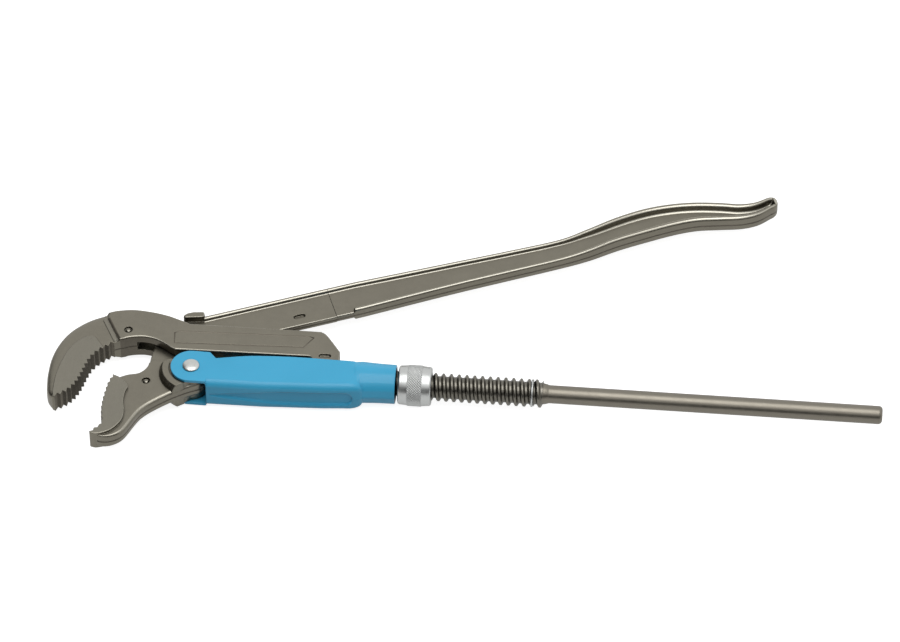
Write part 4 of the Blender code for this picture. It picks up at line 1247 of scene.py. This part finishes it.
def plate_outline():
    teeth = toothed_edge([(-51.6, -7.9), (-53.8, -14.2), (-54.9, -22.0), (-55.6, -30.0), (-55.6, -38.0),
                          (-54.6, -46.0), (-53.4, -51.4), (-56.8, -54.9), (-60.6, -59.6)], 13, 1.3, 0.5)
    rear = smooth([(-60.2, -60.6), (-55.8, -61.2), (-47.9, -57.7), (-42.4, -51.0), (-40.2, -45.0),
                   (-40.2, -38.3), (-41.4, -32.1), (-41.7, -27.0), (-41.2, -21.8), (-40.3, -17.4),
                   (-43.4, -12.7), (-47.6, -9.2)], 5)
    return drawn_in(teeth, 0.0) + drawn_in(rear, 0.6)


# %% Shoulder
SHOULDER_INNER = EAR_RADIUS + 1.0
SHOULDER_OUTER = SHOULDER_INNER + 7.0
SHOULDER_TIP_ANGLE = 171
SHOULDER_EDGE_ANGLE = 303.4


def crescent(outer, inner, end_distance):
    """Round the pivot, with a round tip above and a straight end along the lower edge."""
    middle, half_width = (outer + inner) / 2, (outer - inner) / 2
    tip_angle = math.radians(SHOULDER_TIP_ANGLE)
    tip = (middle * math.cos(tip_angle), middle * math.sin(tip_angle))
    outer_end, inner_end = [SHOULDER_EDGE_ANGLE - math.degrees(math.acos(min(1.0, end_distance / radius)))
                            for radius in (outer, inner)]
    return (arc((0.0, 0.0), outer, SHOULDER_TIP_ANGLE, outer_end, 36)
            + arc((0.0, 0.0), inner, inner_end, SHOULDER_TIP_ANGLE, 30)
            + arc(tip, half_width, SHOULDER_TIP_ANGLE - 180, SHOULDER_TIP_ANGLE, 14)[1:-1])


def shoulder():
    rings = []
    steps = [(0.0, 0.0), (5.2, 0.0), (6.6, 0.12), (8.2, 0.38), (9.4, 0.68), (10.05, 0.87), (10.35, 0.96),
             (10.5, 1.0)]
    for z, k in [(-z, k) for z, k in reversed(steps)] + steps[1:]:
        outline = crescent(SHOULDER_OUTER - 2.4 * k, SHOULDER_INNER + 0.4 * k, 10.1)
        rings.append([(x, y, z) for x, y in outline])
    return loft("shoulder", rings, [forged_steel])


# %% Rib and lug


def flange(half, web, foot, radius):
    """One flange from its parting line over its round crest to the web, as (across, height)."""
    raised = min(1.0, (half - web) / 1.8)
    crest_end = 90.0 - 70.0 * raised
    line = [(0.35, 0.0), (0.35, 0.3), (0.0, 0.65), (0.3, half - radius)]
    line += arc((0.3 + radius, half - radius), radius, 180, crest_end, 9)[1:]
    v, z = line[-1]
    hollow = 0.6 * raised + 0.3 * max(0.0, half - web - 2.4)
    fall = max(0.0, z - web - hollow)
    v, z = v + fall / 2.6 + 0.02, z - fall
    line += [(v + 1.6 * hollow * k, web + (z - web) * (1 - k) ** 2) for k in (0.0, 0.2, 0.4, 0.6, 0.8, 1.0)]
    return line + [(max(foot, v + 1.6 * hollow + 0.2), web)]


def across_at(top, bottom, section):
    """Stand a section of (across, height) points on the line from top to bottom, both faces of it."""
    width = math.dist(top, bottom)
    direction = ((bottom[0] - top[0]) / width, (bottom[1] - top[1]) / width)
    both = section + [(v, -z) for v, z in section[-2:0:-1]]
    return [(top[0] + direction[0] * v, top[1] + direction[1] * v, z) for v, z in both]


RIB_HALF = 4.9
RIB_FOOT = 5.9
CREST_RADIUS = 1.7


def rib():
    """The raised rib along the blade's top edge, up to the weld."""
    section = flange(RIB_HALF, BLADE_HALF - 0.03, RIB_FOOT, CREST_RADIUS) + [(RIB_FOOT + 0.1, 0.0)]
    start = (1.5, blade_top(1.5) + 0.3)
    rings = [across_at(start, (start[0] + 4.0, start[1] - 9.16), section),
             across_at(SEAM_TOP, SEAM_BOTTOM, section)]
    return loft("rib", rings, [handled_and_sheen_steel])


LUG_OUTLINE = [(-11.0, 49.0, 1.0), (-10.5, 48.0, 0.9), (-9.6, 47.4, 0.7), (1.8, 48.9, 0.7), (2.9, 49.6, 0.9),
               (3.2, 51.6, 1.0), (2.6, 53.6, 1.2), (1.6, 54.2, 1.4), (-4.8, 53.6, 1.5), (-8.6, 52.2, 1.5),
               (-10.6, 50.4, 1.4)]

# %% Lower jaw


def lower_jaw():
    jaw = forging("lower_jaw_forging", jaw_outline(), edge_round(JAW_HALF, 2.6, 8), [forged_steel])
    stand(oil_parting_line(jaw))
    outline = drawn_in(blade_outline(), 0.8)
    blade = oil_parting_line(forging("blade", outline, edge_round(BLADE_HALF, 0.9), [handled_and_sheen_steel]))
    plate = forging("jaw_plate", plate_outline(), edge_round(PLATE_HALF, 0.5, 5, 0.0),
                    [forged_steel, tooth_steel, ground_steel], 27)
    pad = prism("boss_pad", crescent(SHOULDER_OUTER - 2.4, 9.0, 10.3), LEG_HALF, [forged_steel])
    boss_profile = [(LEG_HALF, 0.0), (LEG_HALF, BOSS_RADIUS), (-LEG_HALF, BOSS_RADIUS), (-LEG_HALF, 0.0)]
    boss = turned("pivot_boss", boss_profile, 64, [forged_steel], False)
    lug = forging("lug", LUG_OUTLINE, edge_round(PLATE_HALF, 1.4), [forged_steel])
    for part in (blade, plate, pad, boss, shoulder(), rib(), lug):
        join_in(jaw, stand(part), "UNION")
    join_in(jaw, rivet_hole("jaw_hole"))
    for side in (-1, 1):
        join_in(jaw, dimple(f"jaw_dimple_{side}", -29.1, -10.0, side, JAW_HALF))
        join_in(jaw, oval_mark(f"blade_mark_{side}", 66.2, 59.2, 22.0, side, BLADE_HALF))
    return settle(jaw, 30)


dress(lower_jaw(), "lower_jaw", "lever")

# %% [markdown]
# ## Lever handle
#
# An I-section forging with drafted flanges and a web between them, bent twice and closed by a round
# end. Sections across it are lofted from the weld to the tip. Every section has the same number of
# points in the same order, so that the loft's lines run the whole length.

# %% Handle sections


def handle_section(top, bottom, half, web, foot, radius=CREST_RADIUS, lower_flange=True):
    """One section across the handle, from its top edge to its bottom edge and back below."""
    width = math.dist(top, bottom)
    upper = flange(half, web, foot, radius)
    lower = upper if lower_flange else flange(web, web, foot, 0.8)
    squeeze = min(1.0, 0.48 * width / max(upper[-1][0], lower[-1][0]))
    section = [(v * squeeze, z) for v, z in upper] + [(width - v * squeeze, z) for v, z in reversed(lower)]
    return across_at(top, bottom, section)


HANDLE_EDGES = [
    ((163.7, 117.0), (165.8, 93.6)), ((199.7, 130.5), (201.6, 108.8)), ((234.7, 144.4), (236.9, 123.7)),
    ((253.6, 155.8), (256.0, 133.0)), ((272.7, 168.4), (275.1, 144.6)), ((291.2, 178.2), (295.1, 154.7)),
    ((308.6, 184.1), (312.8, 162.9)), ((325.5, 187.3), (328.2, 168.2)), ((342.3, 188.4), (343.8, 170.6)),
    ((355.9, 188.4), (358.4, 172.8)), ((366.1, 190.6), (369.6, 177.2)), ((374.4, 195.4), (378.2, 184.4))]
BLADE_DIRECTION = (0.9166, 0.3998)
WELD_GAP = 0.02
GRIP_START = 232.0
GRIP_RISE = 1.2
TIP_DIRECTION = (0.86, 0.51)
TIP_LENGTH = 6.5

# %% Lever handle


def weld_rings():
    """From the weld to where the lower flange has risen."""
    start = [tuple(p[k] + BLADE_DIRECTION[k] * WELD_GAP for k in range(2)) for p in (SEAM_TOP, SEAM_BOTTOM)]
    rings = [handle_section(*start, RIB_HALF, BLADE_HALF, RIB_FOOT, lower_flange=False)]
    for x, flanged in ((92.2, False), (93.0, False), (94.2, True), (95.0, True)):
        top, bottom = (x, blade_top(x)), (x + 9.5, blade_bottom(x + 9.5))
        rings.append(handle_section(top, bottom, RIB_HALF, BLADE_HALF, RIB_FOOT, lower_flange=flanged))
    return rings


def shank_rings(tops, bottoms):
    """The long shank, with a thinner web, growing into the taller grip."""
    rings = []
    for top, bottom in zip(tops, bottoms):
        grip = min(max((top[0] - GRIP_START) / 40.0, 0.0), 1.0)
        grip = grip * grip * (3 - 2 * grip)
        thin = min(max((top[0] - 96.0) / 30.0, 0.0), 1.0)
        rings.append(handle_section(top, bottom, RIB_HALF + GRIP_RISE * grip,
                                    BLADE_HALF - 0.2 * thin - 0.8 * grip, RIB_FOOT + 1.5 * grip,
                                    CREST_RADIUS + 0.7 * grip))
    return rings


def tip_rings(top, bottom):
    """The round end, which closes the pocket between the flanges."""
    centre = tuple((top[k] + bottom[k]) / 2 for k in range(2))
    rings = []
    for angle in (8, 18, 28, 38, 48, 58, 68, 78, 85):
        a = math.radians(angle)
        spread, half = math.cos(a) ** 0.75, (RIB_HALF + GRIP_RISE) * (0.45 + 0.55 * math.cos(a) ** 0.5)
        ends = [tuple(centre[k] + (p[k] - centre[k]) * spread + TIP_DIRECTION[k] * TIP_LENGTH * math.sin(a)
                      for k in range(2)) for p in (top, bottom)]
        web = 1.7 + (half - 1.7) * min(1.0, angle / 38) ** 2
        rings.append(handle_section(*ends, half, web, RIB_FOOT + 1.5, CREST_RADIUS + 0.7))
    return rings


def lever_handle():
    pairs = [((100.0, blade_top(100.0)), (109.0, blade_bottom(109.0)))] + HANDLE_EDGES
    tops, bottoms = [smooth([pair[side] for pair in pairs], 8) for side in (0, 1)]
    rings = weld_rings() + shank_rings(tops, bottoms) + tip_rings(tops[-1], bottoms[-1])
    handle = oil_parting_line(loft("lever_handle_forging", rings, [handled_and_sheen_steel]))
    return settle(stand(handle), 30)


dress(lever_handle(), "lever_handle", "lever")
